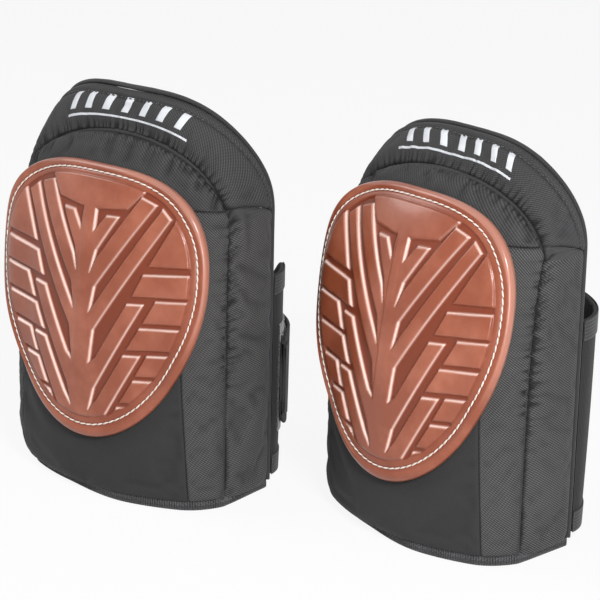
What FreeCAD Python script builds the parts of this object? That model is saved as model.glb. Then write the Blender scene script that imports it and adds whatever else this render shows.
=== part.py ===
import FreeCAD, Part
import math, os

V = FreeCAD.Vector
os.makedirs("parts", exist_ok=True)

# driving dimensions, mm
front_radius = 160.0        # plan radius of the padded front
front_angle = 23.0          # half angle of the front arc, degrees
corner_radius = 38.0        # plan radius where the front turns into the wings
front_y = 4.0               # front face of the fabric at mid height
lean = 0.03                 # backward lean of the front per mm of height
seam_s = 98.0               # arc length from the centre to the wing seam
seam_z = 184.0              # height of the horizontal seam
wing_flare = 1.2            # the wing rear edge stands this much wider than the seam
wing_y0 = 80.5              # rear edge of the wing at the floor
wing_lean = 0.035           # rear edge goes back this much per mm of height
fabric = 1.8                # fabric face with its scrim
foam_front = 9.2            # knee foam
foam_wing = 5.8             # wing and top band foam
gel_t = 3.6                 # gel insert
cap_t = 6.8                 # height of the tread above the fabric
cap_half = 82.0             # half width of the cap along the surface
cap_up = 61.5               # cap above its widest point
cap_down = 108.5            # cap below its widest point
cap_lift = 5.0              # the stiff cap stands this much prouder at its sides
cap_z = 150.0               # height of the widest point
backing_t = 2.9             # hollow behind the cap, filled by its backing
cap_edge = 3.0              # the rim is this much lower than the crown
stitch_at = 0.918           # stitch line, as a share of the outline's radius
hem_h = 5.6                 # height of the bottom hem strip
hem_t = 3.0                 # its thickness
hem_inset = 8.6             # the hem sits this far behind the fabric face
hem_reach = 138.0           # arc length from the centre to the end of the hem
band_b = 48.0               # depth of the leg band behind the wings
band_t = 2.4                # leg band thickness
band_z0, band_z1 = 9.0, 141.0
band_taper = 10.0           # the band is this much shallower at the foot
wing_crown, top_crown = 3.4, 2.6   # how far the wings and the top band puff out
tab_z0, tab_z1 = 40.0, 103.0
tab_t = 2.0                 # closure tab webbing
tab_off = 2.75              # the tab lies this far outside the short band
patch_t = 1.0               # loop patch pile
trim_t = 0.7                # woven binding on the bands
mark_t = 0.33               # raised print on the top band
panel_split = 69.0          # arc length to the seam between lower panel and side strip
panel_foot = 4.0            # the fabric ends this high above the floor
foam_foot = hem_h + 0.8     # the foam and lining end just above the hem
seam_inset = 0.9            # panels stop this short of the arch and leg seam
edge_w = 3.1                # width of the bound outer edge
gel_x, gel_z, gel_mid = 54.0, 58.0, 128.0   # gel insert half sizes and middle height
layer = 0.2                 # air between layers of one body
clear = 0.3                 # air between pieces of two bodies
stitch_pitch = 4.6          # lockstitch pitch round the cap

# the pads are flexible: the right one is curled a little more, so narrower and taller
pads = {
    "left": dict(mirror=1.0, arch_y=43.5, arch_rise=44.5, rim_y=53.0, rim_rise=73.0, soft=0.0,
                 turn=5.1, at=(-91.19, -99.72), wide=1.0, tall=1.0),
    "right": dict(mirror=-1.0, arch_y=52.0, arch_rise=39.0, rim_y=75.0, rim_rise=60.0, soft=1.0,
                  turn=-5.1, at=(94.51, -29.32), wide=0.96, tall=1.018),
}


def clamp(v, a=0.0, b=1.0):
    return max(a, min(b, v))


def smooth(v):
    v = clamp(v)
    return v * v * (3 - 2 * v)


def plan(s):
    a = abs(s)
    sg = -1.0 if s < 0 else 1.0
    p1 = math.radians(front_angle)
    s1 = front_radius * p1
    s2 = s1 + corner_radius * (math.pi / 2 - p1)
    if a < s1:
        p = a / front_radius
        x, y = front_radius * math.sin(p), front_radius * (1 - math.cos(p))
    else:
        p = min(p1 + (a - s1) / corner_radius, math.pi / 2)
        x = front_radius * math.sin(p1) + corner_radius * (math.sin(p) - math.sin(p1))
        y = front_radius * (1 - math.cos(p1)) + corner_radius * (math.cos(p1) - math.cos(p))
        y += max(0.0, a - s2)
    return sg * x, y, sg * p


seam_x = plan(seam_s)[0]
wing_x = seam_x + wing_flare
band_a = wing_x - 0.5
foam_back = fabric + layer + 0.05 + foam_front
gel_back = foam_back + clear + gel_t + 0.15
wing_back = fabric + layer + foam_wing
lining_t = 1.2


class Pad:
    def __init__(self, name):
        self.name = name
        self.k = pads[name]

    # height of the arch seam over x
    def arch_height(self, x):
        q = clamp(abs(x) / seam_x)
        return seam_z + self.k["arch_rise"] * (1 - q ** 2.1) ** (1 / 1.75)

    def front_point(self, s, z):
        x, y, p = plan(s)
        v = clamp(z / self.arch_height(x), 0, 1)
        g = 1 - (1 - v ** 4) ** 0.625
        y += front_y + lean * (z - 110)
        y += (self.k["arch_y"] - y) * g
        return V(x, y, z)

    def front_normal(self, s, z):
        top = 0.965 * self.arch_height(plan(s)[0])
        z = min(z, top)
        a = self.front_point(s + 0.4, z) - self.front_point(s - 0.4, z)
        b = self.front_point(s, z + 0.6) - self.front_point(s, z - 0.6)
        n = a.cross(b)
        n.normalize()
        return n

    def front(self, s, z, off):
        return self.front_point(s, z) + self.front_normal(s, z) * off

    # the strip outside the arch seam: wings below the seam height, top band above it
    def seam_curve(self, a):
        x = seam_x * math.sin(math.pi / 2 * a)
        return V(x, self.k["arch_y"], self.arch_height(x))

    def rim_curve(self, a):
        k = self.k
        q = abs(math.sin(math.pi / 2 * a))
        back = wing_y0 + wing_lean * seam_z
        if k["soft"] < 0.5:
            f = 0.6 * q ** 1.6 + 0.4 * q ** 8
        else:
            f = q ** 6
        y = k["rim_y"] + (back - k["rim_y"]) * f
        z = seam_z + k["rim_rise"] * max(0.0, 1 - q ** 3) ** (1 / 2.2)
        return V(wing_x * math.copysign(q, a), y, z)

    def strip_ends(self, t):
        # t runs from one wing foot (-2) over the rim (0) to the other (2)
        if abs(t) <= 1:
            return self.seam_curve(t), self.rim_curve(t)
        sg = math.copysign(1.0, t)
        z = seam_z * (2 - abs(t))
        a = self.front_point(sg * seam_s, z)
        return a, V(sg * wing_x, wing_y0 + wing_lean * z, z)

    def strip_raw(self, t, w):
        a, b = self.strip_ends(t)
        p = a + (b - a) * w
        out = V(p.x, p.y - 60, p.z - 60 if abs(t) < 1 else 0)
        if abs(t) > 1:
            out = V(math.copysign(1.0, t), 0, 0)
        return p, out

    def strip(self, t, w, off, bulge=True):
        t = clamp(t, -1.9999, 1.9999)
        e = 0.004
        lo, hi = t - e, t + e
        if abs(t) > 1:
            lo, hi = max(lo, -1.9999), min(hi, 1.9999)
        a = self.strip_raw(hi, w)[0] - self.strip_raw(lo, w)[0]
        b = self.strip_raw(t, w + 0.01)[0] - self.strip_raw(t, w - 0.01)[0]
        p, out = self.strip_raw(t, w)
        n = a.cross(b)
        n.normalize()
        if n.dot(out) < 0:
            n = n * -1
        crown = 0.0
        if bulge:
            crown = wing_crown if abs(t) > 1 else top_crown
        return p + n * (off + crown * (4 * clamp(w) * (1 - clamp(w))) ** 0.8)

    def strip_width(self, t):
        a, b = self.strip_ends(t)
        return (b - a).Length

    # leg band on a half ellipse behind the wings
    def band(self, deg, z, off):
        th = math.radians(deg)
        yc = wing_y0 + wing_lean * z + clear + 0.4
        b = band_b - band_taper * ((band_z1 - z) / band_z1) ** 2
        n = V(math.cos(th) / band_a, math.sin(th) / b, 0)
        n.normalize()
        return V(band_a * math.cos(th), yc + b * math.sin(th), z) + n * off

    def world(self, p):
        k = self.k
        x, y = p.x * k["mirror"] * k["wide"], p.y
        c, s = math.cos(math.radians(k["turn"])), math.sin(math.radians(k["turn"]))
        return V(x * c - y * s + k["at"][0], x * s + y * c + k["at"][1], p.z * k["tall"])


def close(faces):
    box = Part.Compound(faces)
    box.sewShape(0.01)
    solid = Part.Solid(box.Shells[0])
    if solid.Volume < 0:
        solid.reverse()
    return solid


def block(pad, f, n, m):
    """a curved slab: f(u, v, k) gives the inner (k=0) and outer (k=1) face"""
    grids = []
    for k in (0, 1):
        grids.append([[pad.world(f(i / n, j / m, k)) for j in range(m + 1)] for i in range(n + 1)])
    surfaces = []
    for g in grids:
        surf = Part.BSplineSurface()
        surf.interpolate(g)
        surfaces.append(surf)
    faces = [s.toShape() for s in surfaces]
    s0, s1 = surfaces
    b0, b1 = s0.bounds(), s1.bounds()
    pairs = [(s0.uIso(b0[0]), s1.uIso(b1[0])), (s0.uIso(b0[1]), s1.uIso(b1[1])),
             (s0.vIso(b0[2]), s1.vIso(b1[2])), (s0.vIso(b0[3]), s1.vIso(b1[3]))]
    for a, b in pairs:
        faces.append(Part.makeRuledSurface(a.toShape(), b.toShape()))
    return close(faces)


def curve(points):
    c = Part.BSplineCurve()
    c.interpolate(points)
    return c.toShape()


def rail(pad, f, n):
    """a long strip: f(t, c) gives corner c of the section, c = 0..3 in order"""
    lines = [[pad.world(f(i / n, c)) for i in range(n + 1)] for c in range(4)]
    edges = [curve(p) for p in lines]
    faces = [Part.makeRuledSurface(edges[c], edges[(c + 1) % 4]) for c in range(4)]
    for i in (0, n):
        a, b = Part.makeLine(lines[0][i], lines[1][i]), Part.makeLine(lines[3][i], lines[2][i])
        faces.append(Part.makeRuledSurface(a, b))
    return close(faces)


def mix(a, b, u):
    return a + (b - a) * u


def front_slab(pad, s0, s1, z0, z1, o0, o1, n=14, m=12):
    def f(u, v, k):
        s = mix(s0, s1, u)
        top = z1 if z1 > 1 else z1 * pad.arch_height(plan(s)[0])
        v = 1 - (1 - v) ** 1.5 if z1 < 1 else v
        return pad.front(s, mix(z0, top, v), o1 if k else o0)
    return block(pad, f, n, m)


def strip_slab(pad, t0, t1, inset0, inset1, o0, o1, n=14, m=6):
    # stops inset0 mm from the seam and inset1 mm from the outer edge
    def f(u, v, k):
        t = mix(t0, t1, u)
        if max(abs(t0), abs(t1)) > 1:
            t = math.copysign(max(1.003, abs(t)), t)
        w = pad.strip_width(t)
        return pad.strip(t, mix(inset0 / w, 1 - inset1 / w, v), o1 if k else o0)
    return block(pad, f, n, m)


def egg_radius(alpha, scale=1.0):
    c, s = abs(math.cos(alpha)), math.sin(alpha)
    up, m, n = (cap_up, 2.6, 2.6) if s >= 0 else (cap_down, 1.95, 1.85)
    lo, hi = 10.0, 200.0
    for _ in range(40):
        r = (lo + hi) / 2
        if (r * c / cap_half) ** m + (r * abs(s) / up) ** n > 1:
            hi = r
        else:
            lo = r
    return lo * scale


def egg_point(u, v, scale=1.0):
    # square to disc, then to the egg outline; returns arc length, height and radius fraction
    a, b = 0.965 * (2 * u - 1), 0.965 * (2 * v - 1)
    x, y = a * math.sqrt(1 - b * b / 2), b * math.sqrt(1 - a * a / 2)
    r = math.hypot(x, y) / 0.985
    alpha = math.atan2(y, x) if r > 1e-9 else 0.0
    d = r * egg_radius(alpha, scale)
    return d * math.cos(alpha), cap_z + d * math.sin(alpha), r


def side_lift(s):
    # the cap is stiffer than the corner of the pad, so its sides stand proud
    return cap_lift * smooth((abs(s) - 45) / 35)


def cap_outer(s, r):
    # level crown, then the rounded rim
    return cap_t + side_lift(s) - cap_edge * smooth((r - 0.955) / 0.06)


def cap_inner(s, r):
    # hollow behind the crown for the backing foam
    return clear + 0.75 * side_lift(s) + backing_t * (1 - smooth((r - 0.80) / 0.07))


def make_cap(pad):
    def f(u, v, k):
        uu, vu = 0.5 - 0.5 * math.cos(math.pi * u), 0.5 - 0.5 * math.cos(math.pi * v)
        uu, vu = mix(u, uu, 0.55), mix(v, vu, 0.55)
        s, z, r = egg_point(uu, vu)
        return pad.front(s, z, cap_outer(s, r) if k else cap_inner(s, r))
    return block(pad, f, 40, 44)


def make_backing(pad):
    def f(u, v, k):
        s, z, r = egg_point(u, v, 0.74)
        return pad.front(s, z, cap_inner(s, 0) - 0.15 if k else 0.15)
    return block(pad, f, 16, 18)


def make_gel(pad):
    def f(u, v, k):
        a, b = 0.93 * (2 * u - 1), 0.93 * (2 * v - 1)
        x, y = a * math.sqrt(1 - b * b / 2), b * math.sqrt(1 - a * a / 2)
        deep = foam_back + clear - 0.05 + 0.2
        return pad.front(gel_x * x, gel_mid + gel_z * y, -deep if k else -deep - gel_t)
    return block(pad, f, 14, 16)


def make_stitches(pad, radius=stitch_at):
    n = 400
    pts = []
    for i in range(n + 1):
        al = 2 * math.pi * i / n - math.pi / 2
        d = egg_radius(al) * radius
        pts.append((d * math.cos(al), cap_z + d * math.sin(al)))
    run = [pad.front(s, z, cap_outer(s, radius) + 0.25) for s, z in pts]
    nrm = [pad.front_normal(s, z) for s, z in pts]
    length = [0.0]
    for a, b in zip(run, run[1:]):
        length.append(length[-1] + (b - a).Length)
    count = int(length[-1] / stitch_pitch)
    step = length[-1] / count
    origin = pad.world(V(0, 0, 0))
    out = []
    j = 0
    for i in range(count):
        want = (i + 0.5) * step
        while length[j + 1] < want:
            j += 1
        u = (want - length[j]) / (length[j + 1] - length[j])
        p = run[j] + (run[j + 1] - run[j]) * u
        d, nn = pad.world(run[j + 1] - run[j]) - origin, pad.world(nrm[j]) - origin
        p = pad.world(p)
        d.normalize()
        nn.normalize()
        side = nn.cross(d)
        box = Part.makeBox(3.5, 1.0, 0.8, V(-1.75, -0.5, 0))
        m = FreeCAD.Matrix(d.x, side.x, nn.x, p.x, d.y, side.y, nn.y, p.y, d.z, side.z, nn.z, p.z, 0, 0, 0, 1)
        box.Placement = FreeCAD.Placement(m)
        out.append(box)
    return Part.Compound(out)


def hem_base(pad, p):
    a, sg = abs(p), (-1.0 if p < 0 else 1.0)
    y_seam = pad.front_point(seam_s, 0).y
    if a <= seam_s:
        q = pad.front_point(p, 0)
        x, y, ang = abs(q.x), q.y, abs(plan(p)[2])
    else:
        rear = wing_y0 - 1.2
        f = (a - seam_s) / (hem_reach - seam_s)
        x, y = mix(seam_x, wing_x, f), mix(y_seam, rear, f)
        ang = mix(plan(seam_s)[2], math.pi / 2, smooth((a - seam_s) / 12))
    inset = mix(hem_inset, 0.56 * hem_inset, smooth((a - seam_s + 14) / 26))
    return x, y, ang, inset, sg


def make_hem(pad):
    sides = []
    for shift in (-hem_t / 2, hem_t / 2):
        pts = []
        for i in range(61):
            p = mix(-hem_reach, hem_reach, i / 60)
            x, y, ang, inset, sg = hem_base(pad, p)
            o = -inset + shift
            pts.append(pad.world(V(sg * (x + math.sin(ang) * o), y - math.cos(ang) * o, 0)))
        sides.append(pts)
    a, b = curve(sides[0]), curve(sides[1])
    ends = Part.makeLine(sides[0][-1], sides[1][-1]), Part.makeLine(sides[1][0], sides[0][0])
    wire = Part.Wire([a, ends[0], b, ends[1]])
    return Part.Face(wire).extrude(V(0, 0, hem_h))


def band_slab(pad, d0, d1, z_at, o_at, n=16, m=8):
    def f(u, v, k):
        deg = mix(d0, d1, u)
        lo, hi = z_at(deg)
        a, b = o_at(deg)
        return pad.band(deg, mix(lo, hi, v), b if k else a)
    return block(pad, f, n, m)


def short_z(deg):
    # height range of the short band, narrower towards its free end
    f = smooth((deg - 30) / 25)
    return mix(band_z0, band_z0 + 11, f), mix(band_z1, band_z1 - 17, f)


def long_z(deg):
    # full height at the sewn edge, down to just over the tab's height
    f = smooth((112 - deg) / 50)
    return mix(band_z0, tab_z0 - 3, f), mix(band_z1, tab_z1 + 3, f)


def long_off(deg):
    # the free end rides up over the short band
    rise = (tab_off - 0.15) * smooth((84 - deg) / 18)
    return -band_t + rise, rise


def make_binding(pad, z_at, o_at, d0, d1, width=13.0):
    out = []
    for top in (0, 1):
        def zz(deg):
            lo, hi = z_at(deg)
            return (hi - width, hi) if top else (lo, lo + width)

        def oo(deg):
            return o_at(deg)[1] + 0.12, o_at(deg)[1] + 0.12 + trim_t
        out.append(band_slab(pad, d0, d1, zz, oo, 16, 2))
    return Part.Compound(out)


def make_mark(pad):
    # seven slanted bars over a thin line
    out = []
    for i in range(7):
        c = 0.11 * (i - 3)

        def bar(u, v, k):
            t = c + 0.02 * (2 * u - 1) + 0.035 * (v - 0.5)
            return pad.strip(t, mix(0.42, 0.80, v), 0.12 + k * mark_t)
        out.append(block(pad, bar, 2, 4))

    def line(u, v, k):
        return pad.strip(mix(-0.38, 0.38, u), mix(0.26, 0.31, v), 0.12 + k * mark_t)
    out.append(block(pad, line, 20, 2))
    return Part.Compound(out)


def make_edge_binding(pad):
    def f(t, c):
        tt = mix(-1.965, 1.965, t)
        w = pad.strip_width(tt)
        inset = edge_w if c in (0, 1) else 0.0
        off = -(wing_back + layer + lining_t) if c in (0, 3) else 0.3
        return pad.strip(tt, 1 - inset / w, off, bulge=False)
    return rail(pad, f, 96)


def build(name):
    pad = Pad(name)
    far = panel_split - 0.3
    flat = lambda deg: (-band_t, 0)
    tab = tab_off, tab_off + tab_t
    nodes = {
        "knee_cap": make_cap(pad),
        "cap_backing": make_backing(pad),
        "cap_stitching": make_stitches(pad),
        "lower_front_panel": front_slab(pad, -far, far, panel_foot, seam_z - 0.4, -fabric, 0, 20, 14),
        "upper_front_panel": front_slab(pad, 6 - seam_s, seam_s - 6, seam_z + 0.4, 0.9985, -fabric, 0, 26, 10),
        "front_foam": front_slab(pad, 8.5 - seam_s, seam_s - 8.5, foam_foot, 0.93,
                                 -foam_back, foam_front - foam_back, 24, 16),
        "gel_insert": make_gel(pad),
        "front_lining": front_slab(pad, 8 - seam_s, seam_s - 8, foam_foot, 0.9,
                                   -gel_back - layer - lining_t, -gel_back - layer, 24, 16),
        "top_band_panel": strip_slab(pad, -0.985, 0.985, seam_inset, edge_w + clear, -fabric, 0, 36, 6),
        "top_band_foam": strip_slab(pad, -0.985, 0.985, seam_inset + 0.7, edge_w + 0.5,
                                    -wing_back, foam_wing - wing_back, 36, 6),
        "edge_binding": make_edge_binding(pad),
        "bottom_hem": make_hem(pad),
        "short_band": band_slab(pad, 0, 55, short_z, flat),
        "short_band_binding": make_binding(pad, short_z, flat, 0.5, 54),
        "loop_patch": band_slab(pad, 8, 50, lambda deg: (tab_z0 - 4, tab_z1 + 4),
                                lambda deg: (0.12, 0.12 + patch_t)),
        "long_band": band_slab(pad, 180, 62, long_z, long_off, 30, 8),
        "long_band_binding": make_binding(pad, long_z, long_off, 179.5, 66),
        "closure_tab": band_slab(pad, 60.8, 6, lambda deg: (tab_z0, tab_z1), lambda deg: tab),
        "hook_patch": band_slab(pad, 51, 9, lambda deg: (tab_z0 + 3, tab_z1 - 3),
                                lambda deg: (0.18 + patch_t + clear, tab_off - 0.12)),
        "tab_grip": band_slab(pad, 13, 7, lambda deg: (tab_z0 + 8, tab_z1 - 8),
                              lambda deg: (tab[1] + 0.12, tab[1] + 1.22), 4, 4),
        "print_mark": make_mark(pad),
    }
    for side, sg in (("outboard", -1.0), ("inboard", 1.0)):
        s0, s1 = sorted((sg * (panel_split + 0.4), sg * (seam_s - 0.8)))
        nodes[side + "_front_strip"] = front_slab(pad, s0, s1, panel_foot, seam_z - 0.4, -fabric, 0, 8, 14)
        foot, lining_foot, top = sg * 1.975, sg * 1.965, sg * 1.004
        a, b = seam_inset, edge_w + clear
        nodes[side + "_wing_panel"] = strip_slab(pad, foot, top, a, b, -fabric, 0)
        a, b = seam_inset + 0.7, edge_w + 0.5
        nodes[side + "_wing_foam"] = strip_slab(pad, lining_foot, top, a, b, -wing_back, foam_wing - wing_back)
        nodes[side + "_wing_lining"] = strip_slab(pad, lining_foot, top, a, b,
                                                  -wing_back - layer - 1.1, -wing_back - layer)
    return nodes


box = None
for name in pads:
    for node, shape in build(name).items():
        ok = all(s.isValid() for s in shape.Solids) and shape.Solids
        b = shape.BoundBox
        box = b if box is None else box.united(b)
        print("%-32s %s solids %d vol %.0f  x %.1f %.1f y %.1f %.1f z %.1f %.1f" % (
            name + "_" + node, "ok" if ok else "BAD", len(shape.Solids), shape.Volume,
            b.XMin, b.XMax, b.YMin, b.YMax, b.ZMin, b.ZMax))
        shape.exportStep("parts/%s_%s.step" % (name, node))
print("box", box, "centre", (box.XMin + box.XMax) / 2, (box.YMin + box.YMax) / 2)
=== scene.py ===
import math

import bpy
import numpy as np
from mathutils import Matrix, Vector


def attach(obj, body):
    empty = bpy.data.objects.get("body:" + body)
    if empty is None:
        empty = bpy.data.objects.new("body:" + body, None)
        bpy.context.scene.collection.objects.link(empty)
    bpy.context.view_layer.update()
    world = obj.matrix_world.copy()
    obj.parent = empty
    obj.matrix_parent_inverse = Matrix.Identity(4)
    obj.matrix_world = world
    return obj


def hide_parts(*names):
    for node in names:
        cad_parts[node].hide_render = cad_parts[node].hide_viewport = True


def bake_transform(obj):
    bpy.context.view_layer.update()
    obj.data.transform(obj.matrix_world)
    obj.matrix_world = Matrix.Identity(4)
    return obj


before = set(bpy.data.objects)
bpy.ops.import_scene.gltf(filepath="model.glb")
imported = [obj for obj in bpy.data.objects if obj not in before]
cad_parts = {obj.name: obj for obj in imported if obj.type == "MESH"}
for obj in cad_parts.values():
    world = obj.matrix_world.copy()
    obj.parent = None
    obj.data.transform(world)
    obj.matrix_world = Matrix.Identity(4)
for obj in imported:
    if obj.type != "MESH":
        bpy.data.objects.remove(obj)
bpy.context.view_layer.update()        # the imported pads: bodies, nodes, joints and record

mm = 0.001
print("frame loaded:", len(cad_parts), "nodes")

# the pads' own measures, in mm, in a frame whose front faces -Y
form = {
    "frontRadius": 160.0, "frontAngle": 23.0, "cornerRadius": 38.0, "frontY": 4.0, "lean": 0.03,
    "seamS": 98.0, "seamZ": 184.0, "wingFlare": 1.2, "wingY": 80.5, "wingLean": 0.035,
    "wingCrown": 3.4, "topCrown": 2.6,
    "bandDepth": 48.0, "bandTaper": 10.0, "bandLow": 9.0, "bandHigh": 141.0, "bandThick": 2.4,
    "tabLow": 40.0, "tabHigh": 103.0, "tabThick": 2.0, "tabOff": 2.75, "clear": 0.3,
    "panelSplit": 69.0, "splitZ": 192.0, "splitSlant": 0.15, "panelFoot": 4.0, "footLift": 2.6,
    "padBack": 7.8, "edgeWide": 3.1, "edgeGap": 0.3, "seamGap": 0.15,
    "wingFoot": 1.975,      # where a wing's cloth ends, in the strip's own measure: 2 is its foot
    "slit": 0.0006,         # half the slit between a wing's cloth and the top band's, in the same measure
}
# what differs between the two pads: how the cloth has settled, and where each pad stands
padForms = {
    "left": {"mirror": 1.0, "archY": 43.5, "archRise": 44.5, "rimY": 53.0, "rimRise": 73.0, "soft": False,
             "turn": 5.1, "at": (-91.19, -99.72), "wide": 1.0, "tall": 1.0,
             "rollReach": 30.0, "rollDeep": 8.5, "puff": 0.8},
    "right": {"mirror": -1.0, "archY": 52.0, "archRise": 39.0, "rimY": 75.0, "rimRise": 60.0, "soft": True,
              "turn": -5.1, "at": (94.51, -29.32), "wide": 0.96, "tall": 1.018,
              "rollReach": 20.0, "rollDeep": 6.5, "puff": 0.5},
}


def smooth(v):
    # 0 below 0, 1 above 1, and 3v^2 - 2v^3 between
    v = np.clip(v, 0, 1)
    return v * v * (3 - 2 * v)


def blendTo(a, b, u):
    return a + (b - a) * u


def unit(v):
    return v / np.maximum(np.linalg.norm(v, axis=-1, keepdims=True), 1e-9)


def stack(x, y, z):
    return np.stack(np.broadcast_arrays(x, y, z), -1).astype(float)


def wander(v, seed):
    # smooth uneven wave between about -1 and 1: three sines whose lengths don't repeat together
    return (np.sin(v * 1.0 + seed * 1.7) + 0.7 * np.sin(v * 2.13 + seed * 3.1 + 1.0)
            + 0.5 * np.sin(v * 4.71 + seed * 5.3 + 2.0)) / 1.9


def plan(s):
    # plan of the front: an arc of the front radius, then the corner arc, then straight back
    a, first = np.abs(s), math.radians(form["frontAngle"])
    flat = form["frontRadius"] * first
    p = np.minimum(a, flat) / form["frontRadius"]
    q = np.clip((a - flat) / form["cornerRadius"], 0, math.pi / 2 - first)
    rest = np.maximum(0, a - flat - form["cornerRadius"] * (math.pi / 2 - first))
    x = form["frontRadius"] * np.sin(p) + form["cornerRadius"] * (np.sin(first + q) - math.sin(first))
    y = form["frontRadius"] * (1 - np.cos(p)) + form["cornerRadius"] * (math.cos(first) - np.cos(first + q)) + rest
    return np.where(s < 0, -x, x), y


seamX = float(plan(np.array(form["seamS"]))[0])
wingX = seamX + form["wingFlare"]
bandHalf = wingX - 0.5
faceRim = form["edgeWide"] + form["edgeGap"]        # from the edge of the wings' and top band's cloth to the outer edge


class Pad:
    # one pad: its surfaces take arrays of their two parameters and a distance outwards, in mm
    def __init__(self, side):
        self.side = side
        self.k = padForms[side]

    def archHeight(self, x):
        # height of the arch seam: a flattened superellipse over the pad's width
        q = np.clip(np.abs(x) / seamX, 0, 1)
        return form["seamZ"] + self.k["archRise"] * (1 - q ** 2.1) ** (1 / 1.75)

    def frontPoint(self, s, z):
        # plan curve leaning back with height, and drawn back to the arch seam near its top
        x, y = plan(s)
        v = np.clip(z / self.archHeight(x), 0, 1)
        y = y + form["frontY"] + form["lean"] * (z - 110)
        y = y + (self.k["archY"] - y) * (1 - (1 - v ** 4) ** 0.625)
        return stack(x, y, z)

    def frontNormal(self, s, z):
        # cross product of short steps across and up, held a little below the seam, where the surface turns over
        z = np.minimum(z, 0.965 * self.archHeight(plan(s)[0]))
        across = self.frontPoint(s + 0.4, z) - self.frontPoint(s - 0.4, z)
        up = self.frontPoint(s, z + 0.6) - self.frontPoint(s, z - 0.6)
        return unit(np.cross(across, up))

    def front(self, s, z, off):
        # the front carried outwards along its normal
        s, z, off = np.broadcast_arrays(s, z, off)
        return self.frontPoint(s, z) + self.frontNormal(s, z) * off[..., None]

    def stripEnds(self, t):
        # t from -2 at one wing's foot over the rim at 0 to the other foot at 2: two superellipse arches over
        # the top and two leaning lines down each leg, one on the seam's side and one along the outer edge
        q = np.sin(math.pi / 2 * np.clip(t, -1, 1))
        sign = np.where(t < 0, -1.0, 1.0)
        seamTop = stack(seamX * q, self.k["archY"], self.archHeight(seamX * q))
        a = np.abs(q)
        back = form["wingY"] + form["wingLean"] * form["seamZ"]
        f = a ** 6 if self.k["soft"] else 0.6 * a ** 1.6 + 0.4 * a ** 8
        rimTop = stack(wingX * q, self.k["rimY"] + (back - self.k["rimY"]) * f,
                       form["seamZ"] + self.k["rimRise"] * np.maximum(0, 1 - a ** 3) ** (1 / 2.2))
        z = np.clip(form["seamZ"] * (2 - np.abs(t)), 0, form["seamZ"])
        seamLeg = self.frontPoint(sign * form["seamS"], z)
        rimLeg = stack(sign * wingX, form["wingY"] + form["wingLean"] * z, z)
        top = (np.abs(t) <= 1)[..., None]
        return np.where(top, seamTop, seamLeg), np.where(top, rimTop, rimLeg)

    def stripPoint(self, t, w):
        # straight across from the seam at w 0 to the outer edge at w 1
        a, b = self.stripEnds(t)
        return a + (b - a) * w[..., None]

    def stripNormal(self, t, w):
        # cross product of short steps along and across, turned to face away from the leg
        lo, hi = np.maximum(t - 0.004, -1.9999), np.minimum(t + 0.004, 1.9999)
        along = self.stripPoint(hi, w) - self.stripPoint(lo, w)
        out = self.stripPoint(t, w + 0.01) - self.stripPoint(t, w - 0.01)
        n = unit(np.cross(along, out))
        p = self.stripPoint(t, w)
        away = np.where((np.abs(t) > 1)[..., None], stack(np.sign(t), 0.0, 0.0), p - stack(0.0, 60.0, 60.0))
        return n * np.where((n * away).sum(-1) < 0, -1.0, 1.0)[..., None]

    def strip(self, t, w, off, bulge=1.0):
        # ruled between the seam and the outer edge, and puffed out between them by a rounded parabola
        t, w, off = np.broadcast_arrays(t, w, off)
        t = np.clip(t, -1.9999, 1.9999)
        c = np.clip(w, 0, 1)
        high = blendTo(form["topCrown"], form["wingCrown"], smooth((np.abs(t) - 0.84) / 0.16))
        crown = high * (4 * c * (1 - c)) ** 0.8 * bulge
        return self.stripPoint(t, w) + self.stripNormal(t, w) * (off + crown)[..., None]

    def stripWidth(self, t):
        a, b = self.stripEnds(t)
        return np.linalg.norm(b - a, axis=-1)

    def band(self, deg, z, off):
        # half ellipse behind the wings by angle, shallower towards the foot, carried out along its normal
        deg, z, off = np.broadcast_arrays(deg, z, off)
        th = np.radians(deg)
        depth = form["bandDepth"] - form["bandTaper"] * ((form["bandHigh"] - z) / form["bandHigh"]) ** 2
        middle = form["wingY"] + form["wingLean"] * z + form["clear"] + 0.4
        n = unit(stack(np.cos(th) / bandHalf, np.sin(th) / depth, 0.0))
        return stack(bandHalf * np.cos(th), middle + depth * np.sin(th), z) + n * off[..., None]

    def world(self, p):
        # mirrored for the right pad, scaled to its cloth, turned, and stood in its place
        x, y, a = p[..., 0] * self.k["mirror"] * self.k["wide"], p[..., 1], math.radians(self.k["turn"])
        c, s = math.cos(a), math.sin(a)
        return stack(x * c - y * s + self.k["at"][0], x * s + y * c + self.k["at"][1], p[..., 2] * self.k["tall"])


def gridFaces(n, m, wrapV=False, start=0):
    # quads of a grid of n by m points, joined round in the second direction if asked
    i, j = np.meshgrid(np.arange(n - 1), np.arange(m if wrapV else m - 1), indexing="ij")
    a, b = i + 1, (j + 1) % m
    return (start + np.stack([i * m + j, a * m + j, a * m + b, i * m + b], -1)).reshape(-1, 4)


def signedVolume(points, faces):
    # below zero when the faces of a closed mesh look inwards
    a, b, c, d = (points[faces[:, k]] for k in range(4))
    return float((np.cross(b - a, c - a) * a).sum() + (np.cross(c - a, d - a) * a).sum())


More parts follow.
